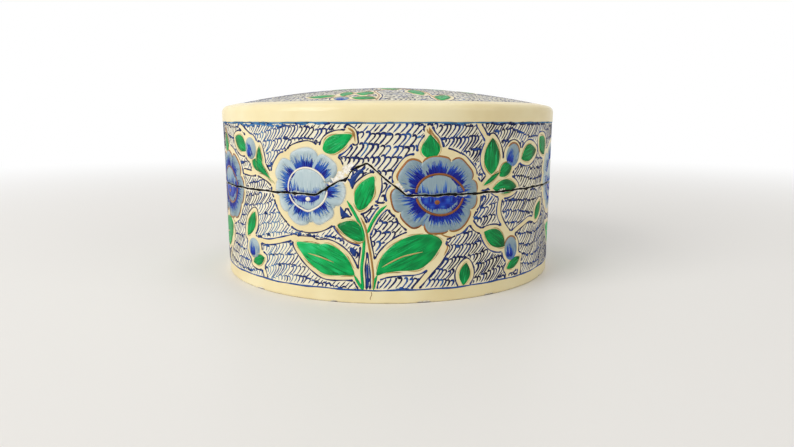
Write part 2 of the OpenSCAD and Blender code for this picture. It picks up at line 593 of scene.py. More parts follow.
def brush(ground, colour, line, width, rest=0.0, lift=0.05, tone=0.0, ends=(0.35, 0.35), swell=None):
    """Lays a stroke: a low ridge along a line, thinner over its ends' lengths in mm.

    The tone is one number, or one for each end.
    """
    line = np.asarray(line, float)
    if ground is wall:
        above = line[:, 1] - seam_height(line[:, 0])
        if above.min() < 1.0 and above.max() > -1.0:
            fine = np.linspace(0, len(line) - 1, 1 + 3 * (len(line) - 1))
            line = np.stack([np.interp(fine, np.arange(len(line)), line[:, k]) for k in (0, 1)], -1)
            if swell is not None:
                swell = np.interp(fine, np.arange(len(swell)), swell)
        sound = bareness(line) < 0
        below = sound & (line[:, 1] < lower_lip(line[:, 0]) - clear_of_lip)
        over = sound & (line[:, 1] > upper_lip(line[:, 0]) + clear_of_lip)
        sides = [("base", below), ("lid", over)]
    else:
        sides = [("dome", np.ones(len(line), bool))]
    whole = length_along(line)
    wide = np.full(len(line), float(width)) if swell is None else width * swell
    first_tone, last_tone = tone if isinstance(tone, tuple) else (tone, tone)
    tones = first_tone + (last_tone - first_tone) * whole / max(whole[-1], 1e-9)
    for body, keep in sides:
        index = np.arange(len(line))
        for part in runs(np.stack([index, whole], -1), keep, 0.2):
            i = part[:, 0].astype(int)
            at, run = line[i], whole[i] - whole[i[0]]
            step = np.gradient(at, axis=0)
            side = unit(np.stack([-step[:, 1], step[:, 0]], -1))
            thin_in = np.minimum(1, 0.25 + 0.75 * run / ends[0])
            thin_out = np.minimum(1, 0.25 + 0.75 * (run[-1] - run) / ends[1])
            half = (wide[i] * (thin_in * thin_out) / 2)[:, None]
            left = ground.place(at + side * half, rest)
            mid = ground.place(at, rest + lift)
            right = ground.place(at - side * half, rest)
            n = len(at)
            faces = []
            for k in range(n - 1):
                a, b = 3 * k, 3 * k + 3
                faces += [(a + 1, b + 1, b, a), (a + 2, b + 2, b + 1, a + 1), (a, b, b + 2, a + 2)]
            faces += [(0, 2, 1), (3 * n - 3, 3 * n - 2, 3 * n - 1)]
            verts = np.stack([left, mid, right], 1).reshape(-1, 3)
            chart = np.repeat(ground.chart(at), 3, 0)
            flow = np.stack([np.repeat(run, 3), np.tile([-1.0, 0.0, 1.0], n) * np.repeat(half[:, 0], 3),
                             np.full(3 * n, at[0, 0] * 7.3 + at[0, 1] * 3.1)], -1)
            into_pot(body, colour, verts, faces, chart, flow, np.repeat(tones[i], 3))


def brush_inside(ground, colour, line, loop, width, **how):
    """Lays the parts of a stroke that fall inside a shape."""
    for part in runs(line, inside(line, loop)):
        brush(ground, colour, part, width, **how)


def lip_region(points, lip, up):
    """The area above or below a lip, as a loop round the places given."""
    u = np.arange(points[:, 0].min() - 1, points[:, 0].max() + 1.3, 0.3)
    far = 60.0 if up else -10.0
    z = lip(u) + (clear_of_lip if up else -clear_of_lip)
    return anticlockwise(np.vstack([np.stack([u, z], -1), [(u[-1], far), (u[0], far)]]))


def fill(ground, colour, loop, rest=0.0, lift=0.05, tone=0.0, along=(0, 1), spacing=0.8):
    """Lays a filled shape: a thin skin with a soft edge. Tone is a number or a function of place."""
    loop = anticlockwise(np.asarray(loop, float))
    low, high = loop.min(0), loop.max(0)
    rows = np.arange(low[1] + spacing * 0.4, high[1], spacing * 0.87)
    grid = np.array([(x + spacing / 2 * (k % 2), y) for k, y in enumerate(rows)
                     for x in np.arange(low[0], high[0], spacing)]).reshape(-1, 2)
    if len(grid):
        grid = grid[inside(grid, loop)]
    if len(grid):
        grid = grid[nearest(grid, loop, True) > spacing * 0.45]
    sides = [("dome", None)]
    if ground is wall:
        sides = []
        if (loop[:, 1] - lower_lip(loop[:, 0])).min() < 0.0:
            crosses = (loop[:, 1] - lower_lip(loop[:, 0])).max() > -0.3
            sides.append(("base", lip_region(loop, lower_lip, False) if crosses else None))
        if (loop[:, 1] - upper_lip(loop[:, 0])).max() > 0.0:
            crosses = (loop[:, 1] - upper_lip(loop[:, 0])).min() < 0.3
            sides.append(("lid", lip_region(loop, upper_lip, True) if crosses else None))
    for body, region in sides:
        points = np.vstack([loop, grid])
        outlines = [list(range(len(loop)))]
        if region is not None:
            outlines.append(list(range(len(points), len(points) + len(region))))
            points = np.vstack([points, region])
        verts, _, faces, _, _, owners = delaunay_2d_cdt([Vector(p) for p in points], [], outlines, 1, 1e-5)
        at = np.array([tuple(v) for v in verts])
        faces = [tuple(f) for f, own in zip(faces, owners) if len(set(own)) == len(outlines)]
        if ground is wall and faces:
            middles = np.array([at[list(f)].mean(0) for f in faces])
            faces = [f for f, bare in zip(faces, bareness(middles)) if bare < 0]
        if not faces:
            continue
        used = sorted({i for f in faces for i in f})
        order = {old: new for new, old in enumerate(used)}
        at = at[used]
        faces = [tuple(order[i] for i in f) for f in faces]
        edges = dict.fromkeys((a, b) for f in faces for a, b in zip(f, f[1:] + f[:1]))
        rim = [(a, b) for a, b in edges if (b, a) not in edges]
        on_rim = np.zeros(len(at), bool)
        on_rim[[i for pair in rim for i in pair]] = True
        n = len(at)
        top = ground.place(at, rest + np.where(on_rim, lift * soft_edge, lift))
        under = ground.place(at, np.full(n, rest - skin_under))
        solid = faces + [tuple(i + n for i in f[::-1]) for f in faces]
        solid += [(b, a, a + n, b + n) for a, b in rim]
        axis = np.array(along, float) / np.linalg.norm(along)
        flow = np.stack([at @ axis, at @ np.array([-axis[1], axis[0]]), np.full(n, loop[0, 0] * 5.7)], -1)
        shade = tone(at) if callable(tone) else np.full(n, float(tone))
        into_pot(body, colour, np.vstack([top, under]), solid, np.tile(ground.chart(at), (2, 1)),
                 np.tile(flow, (2, 1)), np.tile(shade, 2))


def note_points(mesh, label, values, kind="FLOAT", field="value"):
    """Notes a value at each point of a mesh, for its material to read."""
    attribute = mesh.attributes.new(label, kind, "POINT")
    attribute.data.foreach_set(field, np.concatenate(values).astype(np.float32).ravel())


def chart_corners(mesh, chart):
    """Gives each corner of a mesh its place on the bake chart."""
    corners = np.zeros(len(mesh.loops), int)
    mesh.loops.foreach_get("vertex_index", corners)
    layer = mesh.uv_layers.new(name="OFBake")
    layer.data.foreach_set("uv", np.concatenate(chart)[corners].astype(np.float32).ravel())


def lay(part, colour, material):
    """Turns what is in a pot into one painted piece. The dome's paint rides on the lid."""
    pot = pots[(part, colour)]
    piece = smooth_piece(f"{part}_{colour}", np.concatenate(pot["verts"]), pot["faces"])
    note_points(piece.data, "flow", pot["flow"], "FLOAT_VECTOR", "vector")
    note_points(piece.data, "tone", pot["tone"])
    chart_corners(piece.data, pot["chart"])
    piece.data.materials.append(material)
    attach(piece, "base" if part == "base" else "lid")


# Motifs of the bouquet, drawn where the front one stands: outlines of its leaves, its
# stems, and the petals of its flowers as angle, reach and half width about the centre.

hand = np.random.default_rng(11)
petal_root = 3.3

big_leaves = [
    [(-23.6, 14.2), (-20, 14.45), (-17, 14.3), (-15.2, 14.5), (-13.2, 13.9), (-11.3, 12.7), (-9.8, 11),
     (-8.8, 9), (-8.4, 7.1), (-11, 6.9), (-14, 6.7), (-16.3, 7), (-18.3, 8.1), (-20, 9.4), (-21.8, 11.2)],
    [(-2.9, 7.2), (-2.6, 9.3), (-2, 11.1), (-0.8, 12.9), (1, 14.6), (3, 15.9), (5.5, 16.8), (8, 17.1),
     (10.4, 16.9), (12.3, 16), (13.1, 14.9), (12.3, 13.2), (11, 11.3), (9.6, 9.9), (8, 8.8), (6, 8.3),
     (2.5, 8.2), (-0.6, 7.8)],
]
small_leaves = [
    [(-15.7, 37.2), (-15.3, 38.7), (-14.3, 39.9), (-12.7, 40.6), (-10.8, 40.8), (-8.5, 40.7), (-8.9, 39.6),
     (-9.8, 38.3), (-11.2, 37.1), (-13, 36.2), (-14.7, 36.3)],
    [(9.8, 40.6), (9, 39.7), (8.2, 38.6), (7.7, 37.4), (8, 36.2), (9, 35.4), (10.2, 35.2), (11.5, 35.7),
     (12.3, 37), (12.1, 38.2), (11, 39.6)],
    [(-3.4, 31), (-3.2, 29.2), (-3.3, 27.4), (-4, 25.4), (-5.4, 23.6), (-7, 23), (-7.9, 24.3), (-8.1, 26),
     (-7.8, 27.6), (-6.7, 29.2), (-5.2, 30.4)],
    [(-12.3, 19.1), (-11, 20), (-9.4, 20.4), (-7.8, 20.2), (-6.8, 19), (-6.2, 17.4), (-6, 15.9),
     (-6.8, 15.4), (-8.2, 15.7), (-9.7, 16.4), (-11.2, 17.6)],
]
# How each leaf was brushed: the way its strokes run, and how much deeper they end. Partly painted light:
# most leaves left of the middle get low numbers, so their tips are paler as if lit from the left
big_leaf_strokes = [((-1, 0.45), -0.65), ((1, 0.5), -0.15)]
small_leaf_strokes = [((1, 0.5), -0.5), ((-0.2, 1), 0.1), ((0.4, 1), -0.4), ((-1, 0.4), 0.3)]
midribs = [
    [(-20.4, 11.8), (-17, 11.1), (-13.4, 10)],
    [(-1.6, 9.2), (0.5, 10.4), (3.2, 11.7), (6, 12.4), (8.3, 12.8)],
]
green_stems = [
    [(-9.9, 25.2), (-8.3, 22.6), (-6.6, 19.2), (-5.9, 16.2), (-6, 13), (-6.5, 9), (-6.4, 5.8), (-6.2, 3.5)],
    [(-8.5, 7.3), (-7.3, 5.1), (-6.3, 3.5)],
    [(-2.7, 7.4), (-3.4, 5.4), (-3.7, 3.5)],
    [(-0.4, 24.2), (-2.2, 22.6), (-3.9, 20), (-5, 17.5)],
]
bronze_stems = [
    [(-6.6, 21.3), (-5.5, 18.8), (-4.8, 15), (-4.1, 11), (-3.7, 7), (-3.7, 3.5)],
    [(-7.7, 39), (-8.1, 41.2), (-9.4, 42.2)],
    [(12.5, 37.6), (11.7, 39.4), (10.5, 40.7), (9.8, 42.0)],
    [(10.2, 40.4), (9.7, 41.2), (9.6, 42.3)],
    [(9.9, 40.6), (9.3, 41.2), (9.0, 42.0)],
]
# Cream gaps that no leaf or flower explains: a line and its half width
bare_ground = [
    ([(-2.5, 31.6), (-2.3, 28.4), (-3.2, 25.8)], 0.8),
    ([(-3.7, 24.7), (-1.5, 24.45), (1.2, 25.0)], 0.35),
    ([(6.2, 3.4), (9.0, 6.6), (12.5, 10.5), (14.4, 13.4)], 0.75),
    ([(-25.0, 15.3), (-22.0, 15.2), (-19.0, 15.3)], 0.8),
]
# Bronze lines laid beside the leaves, and corners filled in with blue
gold_edges = [
    [(-12.9, 19.0), (-11.5, 16.7), (-9.1, 15.2), (-6.6, 14.9)],
    [(9.6, 17.6), (12.4, 17.1), (14.1, 16.3), (15.8, 16.0)],
    [(14.2, 15.4), (14.5, 13.6), (13.6, 11.6)],
]
blue_corners = [
    [(-9.2, 29.9), (-8.4, 31.2), (-7.0, 32.5), (-5.2, 33.1), (-6.3, 31.9), (-7.5, 30.3), (-8.2, 28.6),
     (-8.6, 28.0)],
    [(-11.6, 23.8), (-10.6, 22.7), (-9.3, 21.5), (-10.4, 21.2), (-11.4, 21.3)],
    [(-9.2, 14.0), (-7.8, 13.2), (-8.1, 11.6), (-9.3, 12.9)],
    [(-5.4, 8.8), (-5.1, 10.0), (-4.85, 8.8), (-4.8, 4.6), (-5.3, 4.2)],
]
# Discs are centre, half width, half height and tilt, and mouths centre, half width and depth
# Painted light and shade: the gilt flower is the copy in shade, with darker petals and disc; the other is
# the lit copy, paler, its gold lines painted as cream.
flowers = [
    {"centre": (-20, 27.8), "disc": (-20.2, 27.7, 5.4, 5.05, 0), "mouth": (-20.5, 26.35, 3.8, 1.9),
     "dot": (-19.9, 25.2), "shaded_gilt": False, "petals": [
        (97, 9.7, 3.7), (47, 9.6, 3.0), (-5, 9.8, 3.1), (-58, 9.3, 3.0), (-112, 9.4, 3.1), (-150, 9.3, 2.5),
        (182, 9.7, 2.2), (150, 10.3, 3.0)]},
    {"centre": (12, 26.5), "disc": (12.4, 26.5, 5.9, 4.9, -12), "mouth": (12.3, 26.3, 4.7, 3.3),
     "dot": (11.7, 24.7), "shaded_gilt": True, "petals": [
        (143, 10.9, 3.3), (186, 11.3, 3.0), (217, 10.2, 2.9), (-90, 9.3, 3.1), (-48, 10.1, 3.5),
        (-2, 10.3, 3.6), (42, 10.1, 3.4), (95, 8.9, 3.5)]},
]


def shifted(points, by, jitter=0.0):
    """Given points moved to another place, each off by a little."""
    p = np.array(points, float) + np.array(by)
    return p + hand.normal(0, jitter, p.shape) if jitter else p


def leaf_loop(base, tip, width, bend=0.0, belly=0.5):
    """A pointed leaf from base to tip, bent sideways, widest at its belly."""
    base, tip = np.array(base, float), np.array(tip, float)
    length = np.linalg.norm(tip - base)
    along = (tip - base) / length
    side = np.array([-along[1], along[0]])
    s = (1 - np.cos(np.linspace(0, math.pi, max(8, int(length / 0.35))))) / 2
    half = width / 2 * np.sin(math.pi * s ** (math.log(0.5) / math.log(belly))) ** 0.8
    spine = base + np.outer(s * length, along) + np.outer(bend * 4 * s * (1 - s), side)
    return np.vstack([spine + np.outer(half, side), (spine - np.outer(half, side))[-2:0:-1]])


def petal_loop(centre, angle, reach, half_width):
    """A rounded petal that runs out from under the disc."""
    a = math.radians(angle)
    out = np.array([math.cos(a), math.sin(a)])
    t = np.linspace(0, 2 * math.pi, 44, endpoint=False)
    x = np.sign(np.cos(t)) * np.abs(np.cos(t)) ** 0.8
    y = np.sign(np.sin(t)) * np.abs(np.sin(t)) ** 0.8
    r = (reach + petal_root) / 2 + (reach - petal_root) / 2 * x + 0.1 * np.sin(5 * t + angle)
    across_petal = half_width * y * (0.82 + 0.09 * (x + 1))
    return np.array(centre, float) + np.outer(r, out) + np.outer(across_petal, [-out[1], out[0]])


def oval(u, z, half_u, half_z, tilt=0.0, count=40):
    """An oval, turned by its tilt in degrees."""
    t = np.linspace(0, 2 * math.pi, count, endpoint=False)
    x, y = half_u * np.cos(t), half_z * np.sin(t)
    c, s = math.cos(math.radians(tilt)), math.sin(math.radians(tilt))
    return np.stack([u + x * c - y * s, z + x * s + y * c], -1)


# Leaves and stems.
# Green poster colour in one or two loaded strokes: deeper where the brush was full,
# paler where it ran dry, then edged and veined with gold paint. On some leaves the paler
# tips are also painted light from the left.

leaf_halo = 1.2
small_leaf_halo = 0.95
stem_halo = 0.5
bud_halo = 1.0
sprig_gap = 0.75
jitter_mm = 0.16


def paint_leaf(ground, loop, along, vein=None, halo=leaf_halo, deep=0.0):
    """One leaf: a green fill, streaks along it, a gold edge and sometimes a vein."""
    loop = anticlockwise(loop)
    ground.keep_clear(loop, halo)
    axis = np.array(along, float) / np.linalg.norm(along)
    side = np.array([-axis[1], axis[0]])
    s, t = loop @ axis, loop @ side
    start, length = s.min(), s.max() - s.min()
    middle, spread = (t.max() + t.min()) / 2, (t.max() - t.min()) / 2

    # Tone along the leaf: deep sets how much darker or paler it ends, which on some leaves is painted light
    # from the left.
    def depth(at):
        cloud = np.sin(at @ axis * 1.1 + start) * np.sin(at @ side * 1.5 + length)
        far = (at @ axis - start) / length
        return 0.35 - 0.35 * far - 1.1 * deep * far + 0.25 * cloud

    fill(ground, "leaves", loop, lift=0.045, tone=depth, along=axis)
    for k in range(int(4 + 7 * spread)):
        cross = middle + spread * hand.uniform(-0.8, 0.8)
        first = start + length * hand.uniform(0.03, 0.5)
        run = np.linspace(0, length * hand.uniform(0.25, 0.5), 9)
        bow = hand.uniform(-0.04, 0.04)
        line = np.outer(first + run, axis) + np.outer(cross + bow * run * (run[-1] - run), side)
        for part in runs(line, inside(line, loop) & (nearest(line, loop, True) > 0.22)):
            brush(ground, "leaves", part, hand.uniform(0.4, 0.9), rest=0.035, lift=0.015,
                  tone=hand.choice([-0.1, 0.1, 0.3, 0.6]), ends=(1.5, 1.5))
    rim = push_out(loop, 0.2)
    rim = rim + 0.09 * np.stack([np.sin(rim[:, 1] * 1.7), np.cos(rim[:, 0] * 1.3)], -1)
    unbroken = np.sin(np.arange(len(rim)) * 0.21 + loop[0, 0]) > -0.8
    for part in runs(rim, unbroken, 0.8):
        brush(ground, "gold_lines", part, 0.26, rest=0.02, lift=0.03, tone=hand.uniform(0.7, 1.4),
              ends=(1.2, 1.2))
    if vein is not None:
        brush(ground, "gold_lines", smooth(vein, False), 0.34, rest=0.05, lift=0.03, tone=1.0,
              ends=(2.0, 2.0))


def paint_stem(points, width, colour, tone):
    """One stem on the wall, tapered to both ends."""
    line = smooth(points, False)
    wall.keep_clear(line, stem_halo + width / 2, closed=False)
    brush(wall, colour, line, width, lift=0.05, tone=tone, ends=(1.5, 0.6))


def paint_bouquet(shift, jitter):
    """The leaves and stems of one bouquet on the wall."""
    by = (shift, 0)
    for points, vein, (along, deep) in zip(big_leaves, midribs, big_leaf_strokes):
        loop = smooth(shifted(points, by, jitter))
        paint_leaf(wall, loop, along, shifted(vein, by, jitter / 2), deep=deep)
    for points, (along, deep) in zip(small_leaves, small_leaf_strokes):
        loop = smooth(shifted(points, by, jitter))
        paint_leaf(wall, loop, along, halo=small_leaf_halo, deep=deep)
    for points, half in bare_ground:
        wall.keep_clear(smooth(shifted(points, by), False), half, closed=False)
    for points in blue_corners:
        loop = smooth(shifted(points, by, jitter / 3))
        fill(wall, "hatch", loop, lift=0.05, tone=0.25, along=(1, 1), spacing=0.6)
    for points in green_stems:
        paint_stem(shifted(points, by, jitter / 2), 0.75, "leaves", 0.5)
    for points in bronze_stems:
        paint_stem(shifted(points, by, jitter / 2), 0.5, "gold_lines", 0.4)
    for points in gold_edges:
        line = smooth(shifted(points, by, jitter / 2), False)
        brush(wall, "gold_lines", line, 0.38, lift=0.04, tone=0.35, ends=(1.0, 1.0))


def paint_bud(ground, u, z, half_u, half_z, tilt, shaded_gilt):
    """A closed bud: a pale ball, feathered with dark blue from its foot, under a gold arc. A gilt bud is
    painted darker, as in shade; the others are painted paler, as lit.
    """
    loop = anticlockwise(oval(u, z, half_u, half_z, tilt))
    ground.keep_clear(loop, bud_halo)
    turn = math.radians(tilt)
    out = np.array([-math.sin(turn), math.cos(turn)])
    side = np.array([math.cos(turn), math.sin(turn)])
    middle = np.array([u, z], float)
    # Painted shade and light: gilt buds start darker, the others paler.
    fill(ground, "petals", loop, lift=0.05, along=out,
         tone=lambda at: (0.15 if shaded_gilt else 0.5) + 0.3 * ((at - middle) @ out / half_z))
    for k in range(13):
        c = -0.3 + 0.42 * (k + hand.uniform(-0.6, 0.6) - 6) / 6
        foot = middle + side * c * half_u - out * half_z * hand.uniform(0.6, 0.78)
        tall = half_z * hand.uniform(0.7, 1.15) * (1.1 - 1.6 * (c + 0.3) ** 2)
        line = np.linspace(foot, foot + out * tall - side * 0.2 * c, 7)
        brush_inside(ground, "petals", line, loop, 0.42, rest=0.05, lift=0.02, tone=(-0.8, -0.3),
                     ends=(0.3, 0.9))
    for k in range(9):
        c = hand.uniform(-0.75, 0.75)
        foot = middle + side * c * half_u - out * half_z * hand.uniform(-0.1, 0.7) * (1 - c * c)
        line = np.linspace(foot, foot + out * half_z * hand.uniform(0.4, 0.8), 7)
        for part in runs(line, inside(line, loop)):
            brush(ground, "petals", part, 0.22, rest=0.055, lift=0.02, tone=hand.choice([-0.2, 0.1, 1.2]),
                  ends=(0.4, 0.8))
    if shaded_gilt:
        arc = push_out(loop, 0.2)
        crest = (arc - (u, z)) @ out > 0.35 * half_z
        for part in ring_runs(arc, crest, 0.5):
            brush(ground, "gold_lines", part, 0.5, lift=0.05, tone=0.1, ends=(0.8, 0.8))


# Two buds on one side branch, and one bud above another, each with leaves and with
# bare ground round its stems. Leaves are base, tip and width, then bend and belly.
wide_sprig = {
    "deep": 0.5,
    "leaves": [
        ((26.6, 30.9), (26.7, 39.7), 5.0, 0.0, 0.45), ((37.6, 34.2), (45.0, 36.2), 4.3, 0.5),
        ((29.3, 30.2), (33.8, 33.2), 3.4, 0.2), ((24.2, 28.2), (29.4, 31.3), 1.2),
        ((27.2, 27.3), (35.8, 27.2), 3.7, 0.3), ((24.8, 16.6), (32.0, 12.2), 4.4, 0.3),
        ((19.0, 3.6), (19.7, 9.3), 3.1), ((33.0, 6.0), (38.4, 8.4), 2.6),
        ((46.2, 17.4), (49.4, 22.2), 3.2), ((47.2, 39.6), (51.6, 34.8), 4.6, 0.4)],
    "buds": [(34.0, 35.3, 2.5, 2.9, -20, True), (34.4, 11.2, 2.5, 3.1, 10, True)],
    "gaps": [
        [(29.8, 24.5), (29.4, 21), (31.4, 17.5), (33.6, 15.3)],
        [(33.8, 14.9), (38, 16.6), (42.5, 18), (46.4, 17.2)], [(20.4, 20), (22.2, 17.8), (24.6, 16.6)],
        [(37.9, 9), (38.4, 6), (38.2, 3.6)], [(22.4, 43), (24.4, 40.2), (25.8, 37.6)],
        [(33.6, 5.8), (33.2, 3.6)]],
}
narrow_sprig = {
    "deep": 0.0,
    "leaves": [
        ((-41.2, 36.2), (-47.4, 39.5), 3.9, -0.3), ((-42.4, 13.8), (-38.2, 20.6), 3.3, -0.2),
        ((-30.0, 28.2), (-38.4, 33.9), 3.1, -0.4, 0.78), ((-35.2, 31.4), (-35.4, 37.6), 2.5, 0.2, 0.35),
        ((-40.0, 6.9), (-34.9, 8.9), 2.8)],
    "buds": [(-39.2, 36.9, 2.4, 2.8, 15, False), (-39.4, 10.8, 2.6, 2.7, 0, False)],
    "gaps": [
        [(-35.4, 5.6), (-34.6, 3.6)], [(-34.4, 31.6), (-38.5, 30.6), (-42.6, 30.8)],
        [(-37.5, 13.4), (-33, 13.3), (-27.5, 14.6), (-24, 15.6)], [(-30, 28.2), (-28.5, 24.5), (-25.5, 19)],
        [(-42.0, 41.4), (-37.4, 38.4), (-34.2, 33.2)], [(-44.5, 42.6), (-42.0, 41.4)]],
}


def paint_sprig(sprig, shift):
    """A side sprig's leaves and buds, and the bare ground round its stems."""
    for base, tip, width, *shape in sprig["leaves"]:
        base, tip = shifted([base, tip], (shift, 0))
        paint_leaf(wall, leaf_loop(base, tip, width, *shape), tip - base, deep=sprig["deep"])
    for u, z, half_u, half_z, tilt, shaded_gilt in sprig["buds"]:
        paint_bud(wall, u + shift, z, half_u, half_z, tilt, shaded_gilt)
    for points in sprig["gaps"]:
        wall.keep_clear(smooth(shifted(points, (shift, 0)), False), sprig_gap, closed=False)


# Where the bouquet is painted round the box, in mm from the front
bouquet_shifts = [0.0, 81.0, 164.5, -66.0]
for place, shift in enumerate(bouquet_shifts):
    paint_bouquet(shift, 0.0 if place == 0 else jitter_mm)
for shift in bouquet_shifts[:3]:
    paint_sprig(wide_sprig, shift + (2.5 if shift > 0 else 0.0))
paint_sprig(narrow_sprig, 0.0)


# Flowers.
# Pale blue petals pulled out from the disc, feathered over with dark blue from the
# root. The disc is a second, half-open flower: a pale cap over a dark mouth.

flower_halo = 1.35
petal_plumpness = 1.16
petal_overlap = 0.004
underpaint_r = 8.3
rim_start_r = 7.4
hair_root_r = 4.8


def paint_petal(ground, centre, petal, loop, shaded_gilt, rest):
    """One petal: a pale fill, a blue patch brushed out from its root, and hairs combed over its end."""
    angle, reach, half_width = petal
    a = math.radians(angle)
    out = np.array([math.cos(a), math.sin(a)])
    side = np.array([-out[1], out[0]])
    free = reach - 5.0
    # Painted light and shade: gilt petals get darker tones, as in shade, the others paler ones, as lit.
    pale, blue, rim_light = (0.2, -0.75, 0.2) if shaded_gilt else (0.85, -0.5, 0.45)

    def hair(c, first, length, width, tone, ends, rise=0.0):
        root = centre + out * first + side * c * half_width * 0.75
        tip = centre + out * (first + length) + side * c * half_width * 0.97
        brush_inside(ground, "petals", np.linspace(root, tip, 7), loop, width, rest=rest + 0.045 + rise,
                     lift=0.02, tone=tone, ends=ends)

    skew = hand.uniform(-0.15, 0.15)
    spread = hand.uniform(0.6, 0.74)
    edge = free * hand.uniform(0.46, 0.62)

    def paleness(at):
        away = at - centre
        far = np.linalg.norm(away, axis=1)
        c = np.abs(away @ side / half_width / 0.85 - skew)
        patch = np.clip((5.2 + 0.7 * edge - far) / 0.9, 0, 1) * np.clip((spread - c) / 0.2, 0, 1)
        return pale - (pale - blue - 0.1) * patch + rim_light * np.clip(far - reach + 1.3, 0, 1)

    fill(ground, "petals", loop, rest=rest, lift=0.045, tone=paleness, along=out, spacing=0.7)
    count = int(half_width * 5.5)
    for m in range(count):
        c = spread * (2 * (m + hand.uniform(0.1, 0.9)) / count - 1)
        length = edge * (1.2 - 0.5 * (c / spread) ** 2) * hand.uniform(0.75, 1.25)
        hair(c + skew, hair_root_r, length, 0.34, (blue - 0.15, blue + hand.uniform(0.2, 0.5)), (0.3, 1.2))
    core = skew + spread * hand.choice([-0.4, 0.4])
    for m in range(int(half_width * (4 if shaded_gilt else 2.6))):
        c = core + hand.normal(0, 0.24 if shaded_gilt else 0.15)
        hair(c, hair_root_r, edge * hand.uniform(0.5, 1.0), 0.5, (-1.0, -0.85), (0.3, 0.8), 0.006)
    for m in range(int(half_width * 3)):
        c = skew + spread * hand.uniform(-1.15, 1.15)
        first = 5.0 + edge * hand.uniform(0.5, 0.9)
        last = reach - 0.5 - 0.5 * c * c
        if last - first > 0.8:
            long = (last - first) * hand.uniform(0.6, 1.0)
            hair(c, first, long, 0.2, pale + hand.choice([0.15, 0.4]), (0.8, 0.9), 0.012)
            hair(c + 0.11, first, 0.75 * long, 0.19, (blue, 0.2), (0.3, 1.0), 0.012)
    for c in (-0.99, 0.99):
        hair(c, hair_root_r, free * hand.uniform(0.4, 0.8), 0.22, (blue, 0.2), (0.2, 1.8))


def paint_disc(ground, flower, shift, pale, line_paint):
    """The half-open flower in the middle: a pale cap, hairs at its edges, and a dark mouth with a dot."""
    shaded_gilt = flower["shaded_gilt"]
    u, z, half_u, half_z, tilt = flower["disc"]
    u, z = u + shift[0], z + shift[1]
    disc = anticlockwise(oval(u, z, half_u, half_z, tilt, 60))
    bearings = np.arctan2(disc[:, 1] - z, disc[:, 0] - u)
    corner = 0.08 * np.exp(-((bearings - math.radians(8 if shaded_gilt else -88)) / 0.28) ** 2)
    disc = (disc - (u, z)) * (1 + corner)[:, None] + (u, z)
    fill(ground, "petals", disc, rest=0.05, lift=0.03,
         tone=lambda at: pale + 0.15 * (at[:, 1] - z) / half_z)
    mouth_u, mouth_z, mouth_half, mouth_deep = flower["mouth"]
    mouth_u, mouth_z = mouth_u + shift[0], mouth_z + shift[1]
    t = np.linspace(0, math.pi, 19)
    under = mouth_z - mouth_deep * np.sin(t) ** 0.75 * (1 + 0.06 * np.sin(7 * t))
    mouth = np.stack([mouth_u - mouth_half * np.cos(t), under], -1)
    fill(ground, "petals", mouth, rest=0.078, lift=0.02, along=(1, 0), spacing=0.5,
         tone=lambda at: -0.62 + 0.3 * np.sin(2.3 * (at[:, 0] - u)) * np.sin(1.9 * (at[:, 1] - z) + 1))

    def hair(line, width, rest, tone, ends):
        brush_inside(ground, "petals", line, disc, width, rest=rest, lift=0.02, tone=tone, ends=ends)

    # Over the cap, four dark ones at its left edge first
    for m in range(14):
        bow = -0.9 + 0.16 * m if m > 3 else -0.74 + 0.04 * m
        rise = np.linspace(0.0, hand.uniform(0.35, 0.7) if m > 3 else 0.5, 8)
        x = u + half_u * bow * np.sqrt(1 - 0.75 * rise ** 2)
        line = np.stack([x, mouth_z + 0.1 + half_z * rise], -1)
        hair(line, 0.3, 0.07, (-0.7, 0.2) if m < 4 else pale + hand.choice([-0.4, -0.25, 0.35]), (0.4, 1.2))
    # Up from the mouth
    for m in range(26):
        x = mouth_u + mouth_half * (-1.05 + 2.2 * (m + hand.uniform(-0.3, 0.3)) / 25)
        left = (x - mouth_u) / mouth_half < -0.45
        tall = half_z * hand.uniform(0.15, 0.5) * (1.5 if left or shaded_gilt else 0.8)
        foot = mouth_z + 0.02
        line = np.stack([x + np.linspace(0, (x - mouth_u) * 0.1, 7), np.linspace(foot, foot + tall, 7)], -1)
        hair(line, 0.34, 0.078, (-0.8, 0.0), (0.2, 1.6))
    # Down over its lower edge
    for m in range(15):
        x = mouth_u + mouth_half * (-0.9 + 1.8 * m / 14)
        low = np.interp(x, mouth[:, 0], mouth[:, 1])
        line = np.stack([np.full(6, x), np.linspace(low + 0.4, low - hand.uniform(0.1, 0.9), 6)], -1)
        hair(line, 0.36, 0.085, (-0.85, -0.2), (0.2, 0.9))
    # Lighter ones in it
    for m in range(4):
        x = mouth_u + mouth_half * hand.uniform(-0.7, 0.7)
        line = np.stack([np.full(5, x), np.linspace(mouth_z - 0.3, mouth_z - 0.3 - 0.4 * mouth_deep, 5)], -1)
        brush(ground, "petals", line, 0.26, rest=0.098, lift=0.015, tone=-0.35, ends=(0.4, 0.4))
    dot = oval(flower["dot"][0] + shift[0], flower["dot"][1] + shift[1], 0.66, 0.56, 0, 16)
    fill(ground, line_paint, dot, rest=0.105, lift=0.03, tone=-0.3 if shaded_gilt else 1.0, spacing=0.5)
    ring = np.vstack([disc, disc[:2]])
    brush(ground, line_paint, ring, 0.62 if shaded_gilt else 0.5, rest=0.08, lift=0.05, tone=-0.3 if shaded_gilt else 0.9)


